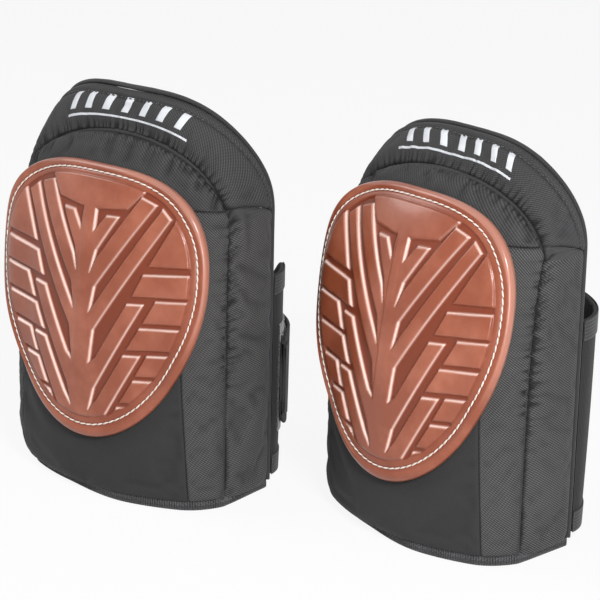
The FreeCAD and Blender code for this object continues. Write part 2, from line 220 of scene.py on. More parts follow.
def makePiece(name, points, faces, uv=None, finishes=(), slots=None, marks=None):
    # closed mesh from points in mm and quads; a quad that repeats a corner is a triangle
    points, faces = np.asarray(points, float), np.asarray(faces, int)
    if signedVolume(points, faces) < 0:
        faces = faces[:, ::-1]
    lists = [f if len(set(f)) == 4 else list(dict.fromkeys(f)) for f in faces.tolist()]
    mesh = bpy.data.meshes.new(name)
    mesh.from_pydata((points * mm).tolist(), [], lists)
    for finish in finishes:
        mesh.materials.append(finish)
    if slots is not None:
        mesh.polygons.foreach_set("material_index", np.asarray(slots, np.int32))
    if uv is not None:
        corners = np.zeros(len(mesh.loops), np.int32)
        mesh.loops.foreach_get("vertex_index", corners)
        layer = mesh.uv_layers.new(name="cloth")
        layer.data.foreach_set("uv", (np.asarray(uv) * 0.01)[corners].astype(np.float32).ravel())
    for key, values in (marks or {}).items():
        mesh.attributes.new(key, "FLOAT", "POINT").data.foreach_set("value", np.asarray(values, np.float32).ravel())
    mesh.polygons.foreach_set("use_smooth", np.full(len(mesh.polygons), True))
    mesh.update()
    piece = bpy.data.objects.new(name, mesh)
    bpy.context.scene.collection.objects.link(piece)
    return piece


def finishPiece(piece, body, slot, *nodes):
    if isinstance(body, str):
        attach(piece, body)
    else:
        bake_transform(piece)
    if nodes:
        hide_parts(*nodes)
    return piece


def gridRing(n, m):
    # point numbers once round the border of a grid of n by m points
    return np.concatenate([np.arange(n) * m, (n - 1) * m + np.arange(1, m), np.arange(n - 2, -1, -1) * m + m - 1,
                           np.arange(m - 2, 0, -1)])


def slabMesh(outer, inner):
    # two grids of the same size and the four walls between their edges
    n, m = outer.shape[:2]
    points = np.concatenate([outer.reshape(-1, 3), inner.reshape(-1, 3)])
    top, under = gridFaces(n, m), gridFaces(n, m, start=n * m)[:, ::-1]
    ring = gridRing(n, m)
    after = np.roll(ring, -1)
    walls = np.stack([ring, ring + n * m, after + n * m, after], -1)
    return points, np.concatenate([top, under, walls]), len(top)


def slabPiece(name, outer, inner, uv, finishes, paintedShade=None):
    # the outer grid takes the first finish; the inner one and the walls take the second, if there is one
    points, faces, facing = slabMesh(outer, inner)
    slots = np.zeros(len(faces), int)
    if len(finishes) > 1:
        slots[facing:] = 1
    flat = uv.reshape(-1, 2)
    # the outer grid carries the painted shade of creases and seams, the inner grid none
    marks = None if paintedShade is None else {"paintedShade": np.concatenate([paintedShade.ravel(), 0 * paintedShade.ravel()])}
    return makePiece(name, points, faces, np.concatenate([flat, flat]), finishes, slots, marks)


def tubePiece(name, rings, finish):
    # rings of points joined along a path, with a small fan closing each end
    n, k = rings.shape[:2]
    ends = np.stack([rings[0].mean(0), rings[-1].mean(0)])
    points = np.concatenate([rings.reshape(-1, 3), ends])
    faces = gridFaces(n, k, wrapV=True)
    a = np.arange(k)
    b = (a + 1) % k
    lowCap = np.stack([np.full(k, n * k), a, b, b], -1)
    highCap = np.stack([np.full(k, n * k + 1), (n - 1) * k + b, (n - 1) * k + a, (n - 1) * k + a], -1)
    step = np.linalg.norm(np.diff(rings.mean(1), axis=0), axis=-1)
    along = np.concatenate([[0], np.cumsum(step)])
    around = np.linalg.norm(np.diff(rings[n // 2], axis=0), axis=-1).sum() * np.arange(k) / k
    uv = np.stack(np.meshgrid(along, around, indexing="ij"), -1).reshape(-1, 2)
    uv = np.concatenate([uv, uv[:1], uv[-1:]])
    return makePiece(name, points, np.concatenate([faces, lowCap[:, ::-1], highCap[:, ::-1]]), uv, [finish])


def pathLength(p):
    # length along a row of points, from 0 at the first
    return np.concatenate([[0], np.cumsum(np.linalg.norm(np.diff(p, axis=0), axis=-1))])


def colour(r, g, b):
    # a colour as seen on a screen, to the linear values that a shader takes
    return tuple(((c / 255 + 0.055) / 1.055) ** 2.4 if c > 10 else c / 255 / 12.92 for c in (r, g, b)) + (1.0,)


class Sock:
    # a value socket: + - * on it add the Math nodes
    def __init__(self, finish, socket):
        self.finish, self.socket = finish, socket

    def math(self, operation, *others):
        return self.finish.add("ShaderNodeMath", {"operation": operation}, dict(enumerate((self,) + others)))

    def flipped(self, operation, other):
        return self.finish.add("ShaderNodeMath", {"operation": operation}, {0: other, 1: self})

    def __add__(self, other): return self.math("ADD", other)
    def __radd__(self, other): return self.flipped("ADD", other)
    def __sub__(self, other): return self.math("SUBTRACT", other)
    def __rsub__(self, other): return self.flipped("SUBTRACT", other)
    def __mul__(self, other): return self.math("MULTIPLY", other)
    def __rmul__(self, other): return self.flipped("MULTIPLY", other)
    def sin(self): return self.math("SINE")
    def abs(self): return self.math("ABSOLUTE")

    def clamp(self):
        return self.finish.add("ShaderNodeClamp", {}, {"Value": self})


class Finish:
    def __init__(self, name, **values):
        self.material = bpy.data.materials.new(name)
        self.material.use_nodes = True
        self.tree = self.material.node_tree
        self.shader = self.tree.nodes["Principled BSDF"]
        for key, value in values.items():
            self.shader.inputs[key.replace("_", " ")].default_value = value

    def add(self, kind, settings=None, inputs=None, out=0):
        # any node: its settings first, then a value or a link for each input
        node = self.tree.nodes.new(kind)
        for key, value in (settings or {}).items():
            setattr(node, key, value)
        for key, value in (inputs or {}).items():
            if isinstance(value, Sock):
                self.tree.links.new(value.socket, node.inputs[key])
            else:
                node.inputs[key].default_value = value
        return Sock(self, node.outputs[out])

    def feed(self, key, value):
        self.tree.links.new(value.socket, self.shader.inputs[key])

    def cloth(self):
        # the piece's own map, in mm: along the fabric and across it
        uv = self.add("ShaderNodeUVMap", {"uv_map": "cloth"})
        big = self.add("ShaderNodeVectorMath", {"operation": "SCALE"}, {0: uv, "Scale": 100.0})
        split = self.add("ShaderNodeSeparateXYZ", {}, {0: big}, "X")
        return big, split, Sock(self, split.socket.node.outputs["Y"])

    def place(self):
        return self.add("ShaderNodeTexCoord", {}, {}, "Object")

    def mark(self, name):
        # a value that the mesh carries at its points
        return self.add("ShaderNodeAttribute", {"attribute_name": name}, {}, "Fac")

    def noise(self, at, scale, detail=2.0, roughness=0.5):
        inputs = {"Vector": at, "Scale": scale, "Detail": detail, "Roughness": roughness}
        return self.add("ShaderNodeTexNoise", {}, inputs)

    def mix(self, factor, a, b):
        # colour a where the factor is 0, colour b where it is 1
        return self.add("ShaderNodeMix", {"data_type": "RGBA"}, {0: factor, 6: a, 7: b}, 2)

    def bump(self, height, distance, strength=1.0):
        inputs = {"Height": height, "Distance": distance, "Strength": strength}
        self.feed("Normal", self.add("ShaderNodeBump", {}, inputs))


def wovenFinish(name, dark, light, pitch, slant, cross, contrast, depth, roughness=0.78, sheen=0.25, patch=0.25):
    # threads at a slant: one wave of light and dark per thread, broken up by the crossing threads
    f = Finish(name, Roughness=roughness, Sheen_Weight=sheen, Sheen_Roughness=0.4, Specular_IOR_Level=0.22)
    at, u, v = f.cloth()
    a = math.radians(slant)
    along = (u * math.cos(a) + v * math.sin(a)) * (2 * math.pi / pitch)
    over = (v * math.cos(a) - u * math.sin(a)) * (2 * math.pi / cross)
    thread = (along.sin() * 0.5 + 0.5) * (over.sin() * 0.22 + 0.78)
    fibre = f.noise(at, 2.2, 3.0, 0.7)
    wearAndHighlight = f.noise(f.place(), 14.0, 3.0, 0.55)
    level = ((thread - 0.4) * contrast + (fibre - 0.5) * 0.5 + (wearAndHighlight - 0.5) * patch + 0.5).clamp()
    # painted shade in creases, folds and along seams: the mark darkens the colour towards near black
    paintedShade = f.mark("paintedShade")
    shade = f.mix(level, colour(*dark), colour(*light))
    f.feed("Base Color", f.mix((paintedShade * 0.85).clamp(), shade, colour(9, 9, 10)))
    f.bump(thread + fibre * 0.4, depth * mm)
    return f.material


# the groove colour is darker as painted shade in the recesses; the rim colour and the pale lug-wall colour are painted
# highlights
rubber = {"groove": (116, 50, 26), "face": (134, 65, 38), "rim": (224, 176, 160), "paintedHighlight": (246, 214, 202),
          "bloom": (182, 112, 88)}


def rubberFinish():
    # moulded rubber: darker colour in the grooves as painted shade, pale painted highlights on the rim and lug walls,
    # faint bloom and flow marks, fine grain
    f = Finish("tprRubber", Roughness=0.3, IOR=1.5, Coat_Roughness=0.14, Specular_IOR_Level=0.4)
    raised, wearAndHighlight = f.mark("raised"), f.mark("paintedHighlight")
    place = f.place()
    bloom = f.noise(place, 28.0, 4.0, 0.6)
    flow = f.noise(place, 90.0, 2.0, 0.5)
    # painted shade: the grooves are coloured darker than the lug faces
    tone = f.mix(raised.clamp(), colour(*rubber["groove"]), colour(*rubber["face"]))
    # painted highlight: the rim goes pale on its side towards the lamps
    tone = f.mix((raised - 1.0).clamp(), tone, colour(*rubber["rim"]))
    # painted highlight: pale lines along the lug walls that face upwards or to one side
    paintedHighlight = (1.0 - ((raised - 0.55) * 1.9).abs()).clamp() * wearAndHighlight
    tone = f.mix((paintedHighlight * 0.95).clamp(), tone, colour(*rubber["paintedHighlight"]))
    f.feed("Base Color", f.mix(((bloom - 0.42) * 1.7 * raised.clamp()).clamp(), tone, colour(*rubber["bloom"])))
    f.feed("Coat Weight", (raised * 0.45 - 0.02).clamp())
    f.feed("Roughness", (bloom * 0.22 + flow * 0.06 + 0.2).clamp())
    grain = f.noise(place, 900.0, 2.0, 0.5)
    f.bump(flow * 0.6 + grain * 0.25, 0.12 * mm, 0.5)
    return f.material


def threadFinish(name, tint, deep):
    # twisted thread: fine uneven strands, darker between them
    f = Finish(name, Roughness=0.55, Sheen_Weight=0.3)
    place = f.place()
    ply = f.noise(place, 2400.0, 2.0, 0.6)
    f.feed("Base Color", f.mix(((ply - 0.3) * 1.6).clamp(), colour(*deep), colour(*tint)))
    f.bump(ply, 0.1 * mm)
    return f.material


def ribbedFinish(name, dark, light, pitch, depth, across=False, roughness=0.7, sheen=0.3):
    # straight ribs one pitch apart, each cut into short threads
    f = Finish(name, Roughness=roughness, Sheen_Weight=sheen, Specular_IOR_Level=0.4)
    at, u, v = f.cloth()
    a, b = (v, u) if across else (u, v)
    rib = (a * (math.pi / pitch)).sin().abs()
    cut = (b * (2 * math.pi / (pitch * 0.8)) + (a * (math.pi / pitch))).sin() * 0.5 + 0.5
    fibre = f.noise(at, 2.0, 3.0, 0.6)
    level = (rib * 0.6 + cut * 0.3 + (fibre - 0.5) * 0.5).clamp()
    f.feed("Base Color", f.mix(level, colour(*dark), colour(*light)))
    f.bump(rib + cut * 0.3, depth * mm)
    return f.material


def pileFinish(name, dark, light, scale, depth):
    # hooks or loops: a crowd of small tufts
    f = Finish(name, Roughness=0.9, Sheen_Weight=0.6, Sheen_Roughness=0.5)
    place = f.place()
    tuft = f.add("ShaderNodeTexVoronoi", {}, {"Vector": place, "Scale": scale}, "Distance")
    fuzz = f.noise(place, scale * 1.5, 3.0, 0.7)
    level = (1.0 - tuft * 1.3 + (fuzz - 0.5) * 0.8).clamp()
    f.feed("Base Color", f.mix(level, colour(*dark), colour(*light)))
    f.bump(level, depth * mm)
    return f.material


def liningFinish():
    # open air-mesh: rounded holes in staggered rows over a darker ground
    f = Finish("airMesh", Roughness=0.85, Sheen_Weight=0.35)
    at, u, v = f.cloth()
    k = 2 * math.pi / 3.2
    hole = ((u * k).sin() * (v * (k * 0.58)).sin()).abs()
    knit = ((u * (k * 3.0)).sin() * (v * (k * 3.0)).sin()) * 0.5 + 0.5
    level = (1.0 - hole * 1.1 + knit * 0.2).clamp()
    f.feed("Base Color", f.mix(level, colour(22, 22, 23), colour(66, 66, 68)))
    f.bump(level, 0.5 * mm)
    return f.material


def inkFinish():
    # printed ink that has sunk into the weave a little
    f = Finish("paleInk", Roughness=0.6)
    at, u, v = f.cloth()
    weave = ((u * 4.6).sin() * (v * 4.6).sin()) * 0.5 + 0.5
    wearAndHighlight = f.noise(f.place(), 160.0, 3.0, 0.6)
    level = (weave * 0.5 + (wearAndHighlight - 0.35) * 0.8).clamp()
    f.feed("Base Color", f.mix(level, colour(200, 203, 208), colour(232, 234, 238)))
    f.bump(weave, 0.1 * mm)
    return f.material


# woven cloth: dark and light threads, their pitch and slant, crossing pitch, contrast, depth, roughness, sheen
finishes = {
    "tpr": rubberFinish(),
    "thread": threadFinish("whiteThread", (246, 243, 236), (205, 190, 178)),
    "darkThread": threadFinish("darkThread", (30, 30, 31), (10, 10, 10)),
    "fine": wovenFinish("fineWeave", (22, 22, 23), (80, 80, 81), 1.25, 55, 1.9, 0.62, 0.18, 0.8, 0.05),
    "smooth": wovenFinish("smoothWeave", (22, 22, 23), (62, 62, 63), 1.2, 55, 1.6, 0.5, 0.12, 0.8, 0.04),
    "coarse": wovenFinish("coarseWeave", (18, 18, 19), (93, 93, 93), 1.18, 55, 1.9, 0.95, 0.26, 0.78, 0.05),
    "lining": liningFinish(),
    "binding": ribbedFinish("edgeTape", (20, 20, 21), (50, 50, 52), 1.1, 0.25, sheen=0.08),
    "hem": ribbedFinish("overlock", (8, 8, 9), (84, 84, 86), 1.6, 0.6, sheen=0.08),
    "band": wovenFinish("stretchWeave", (22, 22, 23), (52, 52, 53), 1.5, 0, 1.1, 0.5, 0.2, 0.8, 0.05),
    "tape": ribbedFinish("bandTape", (22, 22, 23), (58, 58, 59), 1.4, 0.3, across=True, sheen=0.08),
    "webbing": ribbedFinish("ribbedWebbing", (8, 8, 9), (40, 40, 42), 1.9, 0.6, sheen=0.05),
    "pile": pileFinish("hookAndLoop", (12, 12, 13), (44, 44, 46), 1100.0, 0.5),
    "ink": inkFinish(),
}
print("finishes made:", len(finishes))


# the moulded cap: its egg outline, how high it stands, its tread, and how finely it is drawn
cap = {
    "middleZ": 150.0, "half": 82.0, "up": 61.5, "down": 108.5, "upPower": (2.6, 2.6), "downPower": (1.95, 1.85),
    "high": 6.8, "lift": 5.0, "grooveDeep": 2.3, "frameDeep": 1.2, "rimDeep": 0.5, "bevel": 2.0,
    "treadEdge": 0.868, "stitchAt": 0.918, "rimStart": 0.955,       # as shares of the outline's radius
    "cells": 236, "rimRows": 12, "underRows": 7,
}
# lugs of the right half in arc length from the centre and height; the left half mirrors them
lugs = {
    "hood": [(0, 186.5), (6.8, 186), (26, 188.5), (35.5, 199), (44, 220), (0, 220)],
    "branch": [(12.4, 183), (21.3, 183.4), (8.3, 162.1), (5.4, 148.4), (0, 148.4), (0, 173), (5, 173)],
    "upperLug": [(34.5, 196.5), (45.2, 193.1), (9.2, 139.9), (6.3, 123.8), (0, 123.8), (0, 148.4), (5.4, 148.4),
                 (8.9, 157.2)],
    "longLug": [(49.5, 191.5), (56.2, 186), (9.5, 112.8), (6.9, 91.5), (0, 91.5), (0, 123.8), (6.3, 123.8),
                (9.2, 128.5)],
    "middleLug": [(32.1, 132.5), (43.1, 133.5), (10.8, 75.6), (7.1, 61.2), (0, 61.2), (0, 91.5), (6.9, 91.5),
                  (11.2, 95.1)],
    "lowerLug": [(30.6, 99.8), (42.2, 101), (15.6, 53.6), (12, 44), (0, 44), (0, 61.2), (7.1, 61.2), (12.7, 68.4)],
    "bar0": [(44.6, 157), (90, 160.5), (90, 183), (62, 190), (58.5, 183)],
    "bar1": [(41.8, 151.7), (90, 156.6), (90, 142.5), (35.2, 137.6)],
    "bar2": [(50.9, 136.5), (90, 140.2), (90, 126.4), (43.1, 121.8)],
    "bar3": [(41.1, 118.4), (90, 123), (90, 110), (32.7, 103.8)],
    "bar4": [(46.5, 101.8), (80, 105.4), (80, 92), (39, 87.8)],
    "bar5": [(37.6, 84.6), (80, 88.5), (80, 75), (28.8, 69.4)],
    "bar6": [(26.5, 65.7), (60, 70), (60, 56), (20.6, 53.5)],
}


def eggRadius(angle):
    # egg outline: superellipse above its widest line, a longer and rounder one below; solved by halving
    c, s = np.abs(np.cos(angle)), np.sin(angle)
    upper = s >= 0
    tall = np.where(upper, cap["up"], cap["down"])
    m = np.where(upper, cap["upPower"][0], cap["downPower"][0])
    n = np.where(upper, cap["upPower"][1], cap["downPower"][1])
    lo, hi = np.full(np.shape(angle), 10.0), np.full(np.shape(angle), 200.0)
    for _ in range(36):
        r = (lo + hi) / 2
        outside = (r * c / cap["half"]) ** m + (r * np.abs(s) / tall) ** n > 1
        lo, hi = np.where(outside, lo, r), np.where(outside, r, hi)
    return lo


def eggShare(s, z):
    # how far a point is from the cap's middle, as a share of the outline's radius
    angle = np.arctan2(z - cap["middleZ"], s)
    return np.hypot(s, z - cap["middleZ"]) / eggRadius(angle)


def polygonDepth(s, z, corners):
    # distance inside a polygon, negative outside: nearest edge, with the sign from crossings
    p = np.array(corners, float)
    q = np.roll(p, -1, axis=0)
    nearest, inside = np.full(s.shape, 1e9), np.zeros(s.shape, bool)
    for (ax, az), (bx, bz) in zip(p, q):
        ex, ez = bx - ax, bz - az
        k = np.clip(((s - ax) * ex + (z - az) * ez) / (ex * ex + ez * ez), 0, 1)
        nearest = np.minimum(nearest, np.hypot(s - ax - k * ex, z - az - k * ez))
        if ez != 0:
            crosses = (az > z) != (bz > z)
            inside ^= crosses & (s < ex * (z - az) / ez + ax)
    return np.where(inside, nearest, -nearest)


def sideLift(s):
    # the cap stands further off the pad where it wraps round the sides
    return cap["lift"] * smooth((np.abs(s) - 45) / 35)


def treadDepth(s, z, share):
    # how far a point lies inside the nearest lug, in mm
    a = np.abs(s)
    spine = np.interp(z, [40, 53, 61, 91, 124, 148, 174, 186, 220], [9, 8, 7.1, 6.9, 6.4, 5.4, 5.2, 5, 5]) - a
    inside = spine
    for corners in lugs.values():
        inside = np.maximum(inside, polygonDepth(a, z, corners))
    edge = (cap["treadEdge"] - share) * 88.0
    return np.minimum(inside, edge)


def capHeight(s, z, share):
    # crown height, less the grooves between the bevelled lugs and the stitched channel, then up to the rim
    crown = cap["high"] + sideLift(s)
    lug = smooth(treadDepth(s, z, share) / cap["bevel"] + 0.5)
    channel = 0.45 * np.exp(-((share - cap["stitchAt"]) / 0.012) ** 2)
    rim = smooth((share - 0.932) / 0.022)
    spineHalf = np.interp(z, [86, 119, 150, 187], [6, 4, 3, 2.6])
    ridge = 0.28 * smooth((spineHalf - np.abs(s)) / 1.2 + 0.5) * smooth((z - 80) / 20) * smooth((190 - z) / 8)
    deep = blendTo(cap["grooveDeep"], cap["frameDeep"], smooth((share - 0.862) / 0.02))
    base = crown - deep * (1 - lug) + ridge * lug - channel
    # the tone mark: 0 in the grooves, 1 on the lugs and 0.62 on the band round the tread; the rubber's finish paints
    # the low values darker, as painted shade
    tone = np.where(share < 0.875, lug, 0.62)
    return blendTo(base, crown - cap["rimDeep"], rim), blendTo(tone, 1.0, rim)


def makeCap(pad):
    # square grid drawn onto a disc and out to the egg outline, then rows round the rim and under it
    n = cap["cells"] + 1
    a, b = np.meshgrid(np.linspace(-1, 1, n), np.linspace(-1, 1, n), indexing="ij")
    x, y = a * np.sqrt(1 - b * b / 2), b * np.sqrt(1 - a * a / 2)
    angle, reach = np.arctan2(y, x), np.hypot(x, y)
    radius = eggRadius(angle)
    share = reach * cap["rimStart"]
    s, z = share * radius * np.cos(angle), cap["middleZ"] + share * radius * np.sin(angle)
    height, raised = capHeight(s, z, share)
    points = [pad.front(s, z, height).reshape(-1, 3)]

    def level(ds, dz):
        return capHeight(s + ds, z + dz, share)[1]
    # painted highlight: lug walls that face upwards or to one side are painted pale, and so is the rim on that side
    lean = pad.k["mirror"] * (level(-0.4, 0) - level(0.4, 0)) + 0.8 * (level(0, -0.4) - level(0, 0.4))

    # painted highlight on the rim's side towards the lamps, and a little painted shade on its other side
    def rimHighlightAndShade(angle):
        return 0.4 * smooth((0.85 * pad.k["mirror"] * np.cos(angle) + 0.5 * np.sin(angle) - 0.1) / 0.8) - 0.12
    marks = [(raised + rimHighlightAndShade(angle) * smooth((share - 0.944) / 0.01)).ravel()]
    paintedHighlights = [(smooth((0.885 - share) / 0.01) * smooth(lean / 0.4)).ravel()]
    ring = gridRing(n, n)
    angle, radius = angle.ravel()[ring], radius.ravel()[ring]
    crown = cap["high"] - cap["rimDeep"] + sideLift(cap["half"] * np.cos(angle))
    middle = 0.42 * crown
    rows = []
    for turn in np.radians(np.linspace(90, -80, cap["rimRows"] + 1)[1:]):
        high = crown - middle if turn > 0 else middle - 0.5
        rows.append((cap["rimStart"] + (1 - cap["rimStart"]) * math.cos(turn), middle + high * math.sin(turn)))
    for k in range(1, cap["underRows"]):
        rows.append((cap["rimStart"] * (1 - k / cap["underRows"]), None))
    start = len(points[0])
    before = ring
    faces = [gridFaces(n, n)]
    for at, high in rows:
        sr, zr = at * radius * np.cos(angle), cap["middleZ"] + at * radius * np.sin(angle)
        high = form["clear"] + 0.75 * sideLift(sr) if high is None else high
        points.append(pad.front(sr, zr, high))
        marks.append(1.0 + rimHighlightAndShade(angle))
        paintedHighlights.append(np.zeros(len(ring)))
        now = start + np.arange(len(ring))
        faces.append(np.stack([before, now, np.roll(now, -1), np.roll(before, -1)], -1))
        before, start = now, start + len(ring)
    points.append(pad.front(np.zeros(1), np.full(1, cap["middleZ"]), form["clear"]))
    marks.append(np.ones(1))
    paintedHighlights.append(np.zeros(1))
    faces.append(np.stack([before, np.full(len(ring), start), np.roll(before, -1), np.roll(before, -1)], -1))
    piece = makePiece(pad.side + "KneeCap", pad.world(np.concatenate(points)), np.concatenate(faces), None,
                      [finishes["tpr"]], None, {"raised": np.concatenate(marks), "paintedHighlight": np.concatenate(paintedHighlights)})
    return finishPiece(piece, pad.side + "_shell", "tpr", pad.side + "_knee_cap", pad.side + "_cap_backing")


# stitches, in mm, and the slant of the cap's in degrees
stitchForm = {"capPitch": 4.6, "capLong": 5.0, "capWide": 0.52, "capSlant": 6.0,
              "seamPitch": 3.6, "seamLong": 2.6, "seamWide": 0.5}


def makeStitches(name, path, normals, pitch, long, wide, slant, finish):
    # each stitch is a spindle with six sides: its radius follows half an ellipse from end to end
    along = pathLength(path)
    count = int(along[-1] / pitch)
    at = (np.arange(count) + 0.5) * along[-1] / count

    def rowAt(values, where):
        return np.stack([np.interp(where, along, values[:, k]) for k in range(3)], -1)
    middle, up = rowAt(path, at), unit(rowAt(normals, at))
    ahead = unit(rowAt(path, at + 0.6) - rowAt(path, at - 0.6))
    side = np.cross(up, ahead)
    turn = np.radians(slant)
    ahead, side = ahead * math.cos(turn) + side * math.sin(turn), side * math.cos(turn) - ahead * math.sin(turn)
    v = np.linspace(-1, 1, 6)
    round6 = np.arange(6) / 6 * 2 * math.pi
    wide = wide * np.sqrt(1.02 - v ** 2)
    dip = (1 - v ** 2) * 0.35
    body = (middle[:, None, None] + ahead[:, None, None] * (v * long / 2)[None, :, None, None]
            + side[:, None, None] * (wide[:, None] * np.cos(round6))[None, :, :, None]
            + up[:, None, None] * (wide[:, None] * np.sin(round6) * 0.8 + dip[:, None])[None, :, :, None])
    ends = [[0, 1, 2, 3], [0, 3, 4, 5], [33, 32, 31, 30], [35, 34, 33, 30]]
    one = np.concatenate([gridFaces(6, 6, wrapV=True), ends])
    faces = (one[None] + 36 * np.arange(count)[:, None, None]).reshape(-1, 4)
    return makePiece(name, body.reshape(-1, 3), faces, None, [finish])


def makeCapStitches(pad):
    # slanted stitches in the channel: the egg outline at a fixed share of its radius, on the cap's outer face
    angle = np.linspace(-math.pi / 2, 1.5 * math.pi, 721)
    reach = eggRadius(angle) * cap["stitchAt"]
    s, z = reach * np.cos(angle), cap["middleZ"] + reach * np.sin(angle)
    high = cap["high"] + sideLift(s) - cap["frameDeep"] - 0.1
    path = pad.world(pad.front(s, z, high))
    normals = pad.world(pad.front(s, z, high + 1.0)) - path
    piece = makeStitches(pad.side + "CapStitching", path, normals, stitchForm["capPitch"], stitchForm["capLong"],
                         stitchForm["capWide"], stitchForm["capSlant"], finishes["thread"])
    return finishPiece(piece, pad.side + "_shell", "thread", pad.side + "_cap_stitching")


# padded panels: how their seams fall in mm, how deep a crease lies where its painted shade is darkest, the cells of the
# grids, and how the cloth is blown out
padding = {
    "seamDeep": 3.6, "seamReach": 11.0, "creaseDeep": 2.6, "creaseReach": 3.2, "waver": 1.0,
    "flatDeep": 0.9, "flatReach": 2.2, "under": 6.8, "shadeDeep": 2.2,
    "coarseCell": 4.5, "fineAlong": 0.85, "fineAcross": 1.1,
    "pressure": 4.0, "frames": 20, "grow": -0.045, "most": 5.0,
}
gathers = {"top": 5.2, "strip": 6.0, "band": 4.6, "level": 4.4}      # pitch of the gathers along each seam
seeds = {"left": 3.0, "right": 8.0}                                  # each pad's folds and gathers fall differently


def edgeDrop(d, deep, reach):
    # quarter ellipse: the cloth turns down to its seam over the last few mm
    c = np.clip(d / reach, 0, 1)
    return -deep * (1 - np.sqrt(np.maximum(0, 1 - (1 - c) ** 2)))


def seamDrop(d, reach=None):
    # soft fall to a gathered seam, and a narrow crease at the seam itself
    return (edgeDrop(d, padding["seamDeep"], reach or padding["seamReach"])
            + edgeDrop(d, padding["creaseDeep"], padding["creaseReach"]))


def gather(along, seed, pitch):
    # 0 in the pinch between two gathers of the cloth, 1 on top of a gather
    phase = along / pitch + 0.9 * wander(along / 11.0, seed) + 0.4 * wander(along / 4.3, seed + 2)
    return np.abs(np.sin(math.pi * phase)) ** 0.7


def pleats(along, d, high, reach, seed, pitch=3.4):
    # gathers square to a seam, uneven and dying away from it
    long = reach * (0.75 + 0.45 * wander(along / 7.0, seed + 5))
    fade = np.exp(-d / np.maximum(long, 1.5)) * (1 - np.exp(-d / 0.9))
    strong = 0.75 + 0.45 * wander(along / 17.0, seed + 9)
    return (gather(along, seed, pitch) - 0.6) * high * np.maximum(strong, 0.1) * fade


def pinchShade(along, d, seed, pitch, wide, strength=1.0):
    # painted shade of a gathered seam: a narrow dark line, wider at every pinch, with a faint streak beyond and a faint
    # wide fall-off
    pinch = (1 - gather(along, seed, pitch)) * strength
    return np.exp(-(d / (1.4 + wide * pinch)) ** 2) + 0.5 * pinch * np.exp(-d / 7.0) + 0.2 * np.exp(-d / 9.0)


def seamWaver(along, seed):
    # a gathered seam doesn't run straight: small uneven steps to either side, in mm
    steps = 0.5 * np.sin(along / 1.05 + 2 * wander(along / 9.0, seed))
    return padding["waver"] * (0.7 * wander(along / 2.1, seed) + steps)


def cubicRows(coarse, fine):
    # weights that take values on a coarse row to a fine one through smooth cubic pieces
    at = np.linspace(0, coarse - 1, fine)
    k = np.minimum(at.astype(int), coarse - 2)
    u = at - k
    weights = np.zeros((fine, coarse))
    parts = ((-1, -0.5 * u + u ** 2 - 0.5 * u ** 3), (0, 1 - 2.5 * u ** 2 + 1.5 * u ** 3),
             (1, 0.5 * u + 2 * u ** 2 - 1.5 * u ** 3), (2, -0.5 * u ** 2 + 0.5 * u ** 3))
    for step, share in parts:
        np.add.at(weights, (np.arange(fine), np.clip(k + step, 0, coarse - 1)), share)
    return weights


def swell(name, points, normals):
    # cloth held at its seams and blown outwards; what comes back is how far each point moved along its normal
    n, m = points.shape[:2]
    faces = gridFaces(n, m)
    a, b, d = points[0, 0], points[1, 0], points[0, 1]
    if (np.cross(b - a, d - a) * normals[0, 0]).sum() < 0:
        faces = faces[:, ::-1]
    mesh = bpy.data.meshes.new(name + "Cloth")
    mesh.from_pydata((points.reshape(-1, 3) * mm).tolist(), [], faces.tolist())
    cloth = bpy.data.objects.new(name + "Cloth", mesh)
    bpy.context.scene.collection.objects.link(cloth)
    held = np.zeros((n, m), bool)
    held[[0, -1]] = True
    held[:, [0, -1]] = True
    group = cloth.vertex_groups.new(name="seams")
    group.add(np.flatnonzero(held.ravel()).tolist(), 1.0, "REPLACE")
    modifier = cloth.modifiers.new("cloth", "CLOTH")
    c = modifier.settings
    c.quality, c.mass, c.vertex_group_mass = 6, 0.3, "seams"
    c.tension_stiffness = c.compression_stiffness = 20.0
    c.bending_stiffness, c.shrink_min = 0.6, padding["grow"]
    c.use_pressure, c.uniform_pressure_force = True, padding["pressure"]
    c.effector_weights.gravity = 0.0
    modifier.point_cache.frame_start, modifier.point_cache.frame_end = 1, padding["frames"]
    for step in range(1, padding["frames"] + 1):
        bpy.context.scene.frame_set(step)
    shown = cloth.evaluated_get(bpy.context.evaluated_depsgraph_get())
    moved = np.zeros(n * m * 3, np.float32)
    shown.data.vertices.foreach_get("co", moved)
    bpy.context.scene.frame_set(1)
    bpy.data.objects.remove(cloth)
    rise = ((moved.reshape(n, m, 3).astype(float) / mm - points) * normals).sum(-1)
    print("  swelled", name, "by up to %.1f mm" % rise.max())
    limit = padding["most"]
    return limit * np.tanh(rise / limit)


def gridLengths(points):
    # distance of each grid point from the four edges, measured along the grid lines
    def along(axis):
        step = np.linalg.norm(np.diff(points, axis=axis), axis=-1)
        start = np.zeros_like(step[:1]) if axis == 0 else np.zeros_like(step[:, :1])
        return np.concatenate([start, np.cumsum(step, axis=axis)], axis)
    u, v = along(0), along(1)
    return {"lowU": u, "highU": u[-1:] - u, "lowV": v, "highV": v[:, -1:] - v}


def sampleGrid(values, u, v):
    # value between grid points, u and v from 0 to 1 over the grid
    n, m = values.shape
    fu, fv = np.clip(u, 0, 1) * (n - 1), np.clip(v, 0, 1) * (m - 1)
    i, j = np.minimum(fu.astype(int), n - 2), np.minimum(fv.astype(int), m - 2)
    a, b = fu - i, fv - j
    return (values[i, j] * (1 - a) * (1 - b) + values[i + 1, j] * a * (1 - b) + values[i, j + 1] * (1 - a) * b
            + values[i + 1, j + 1] * a * b)


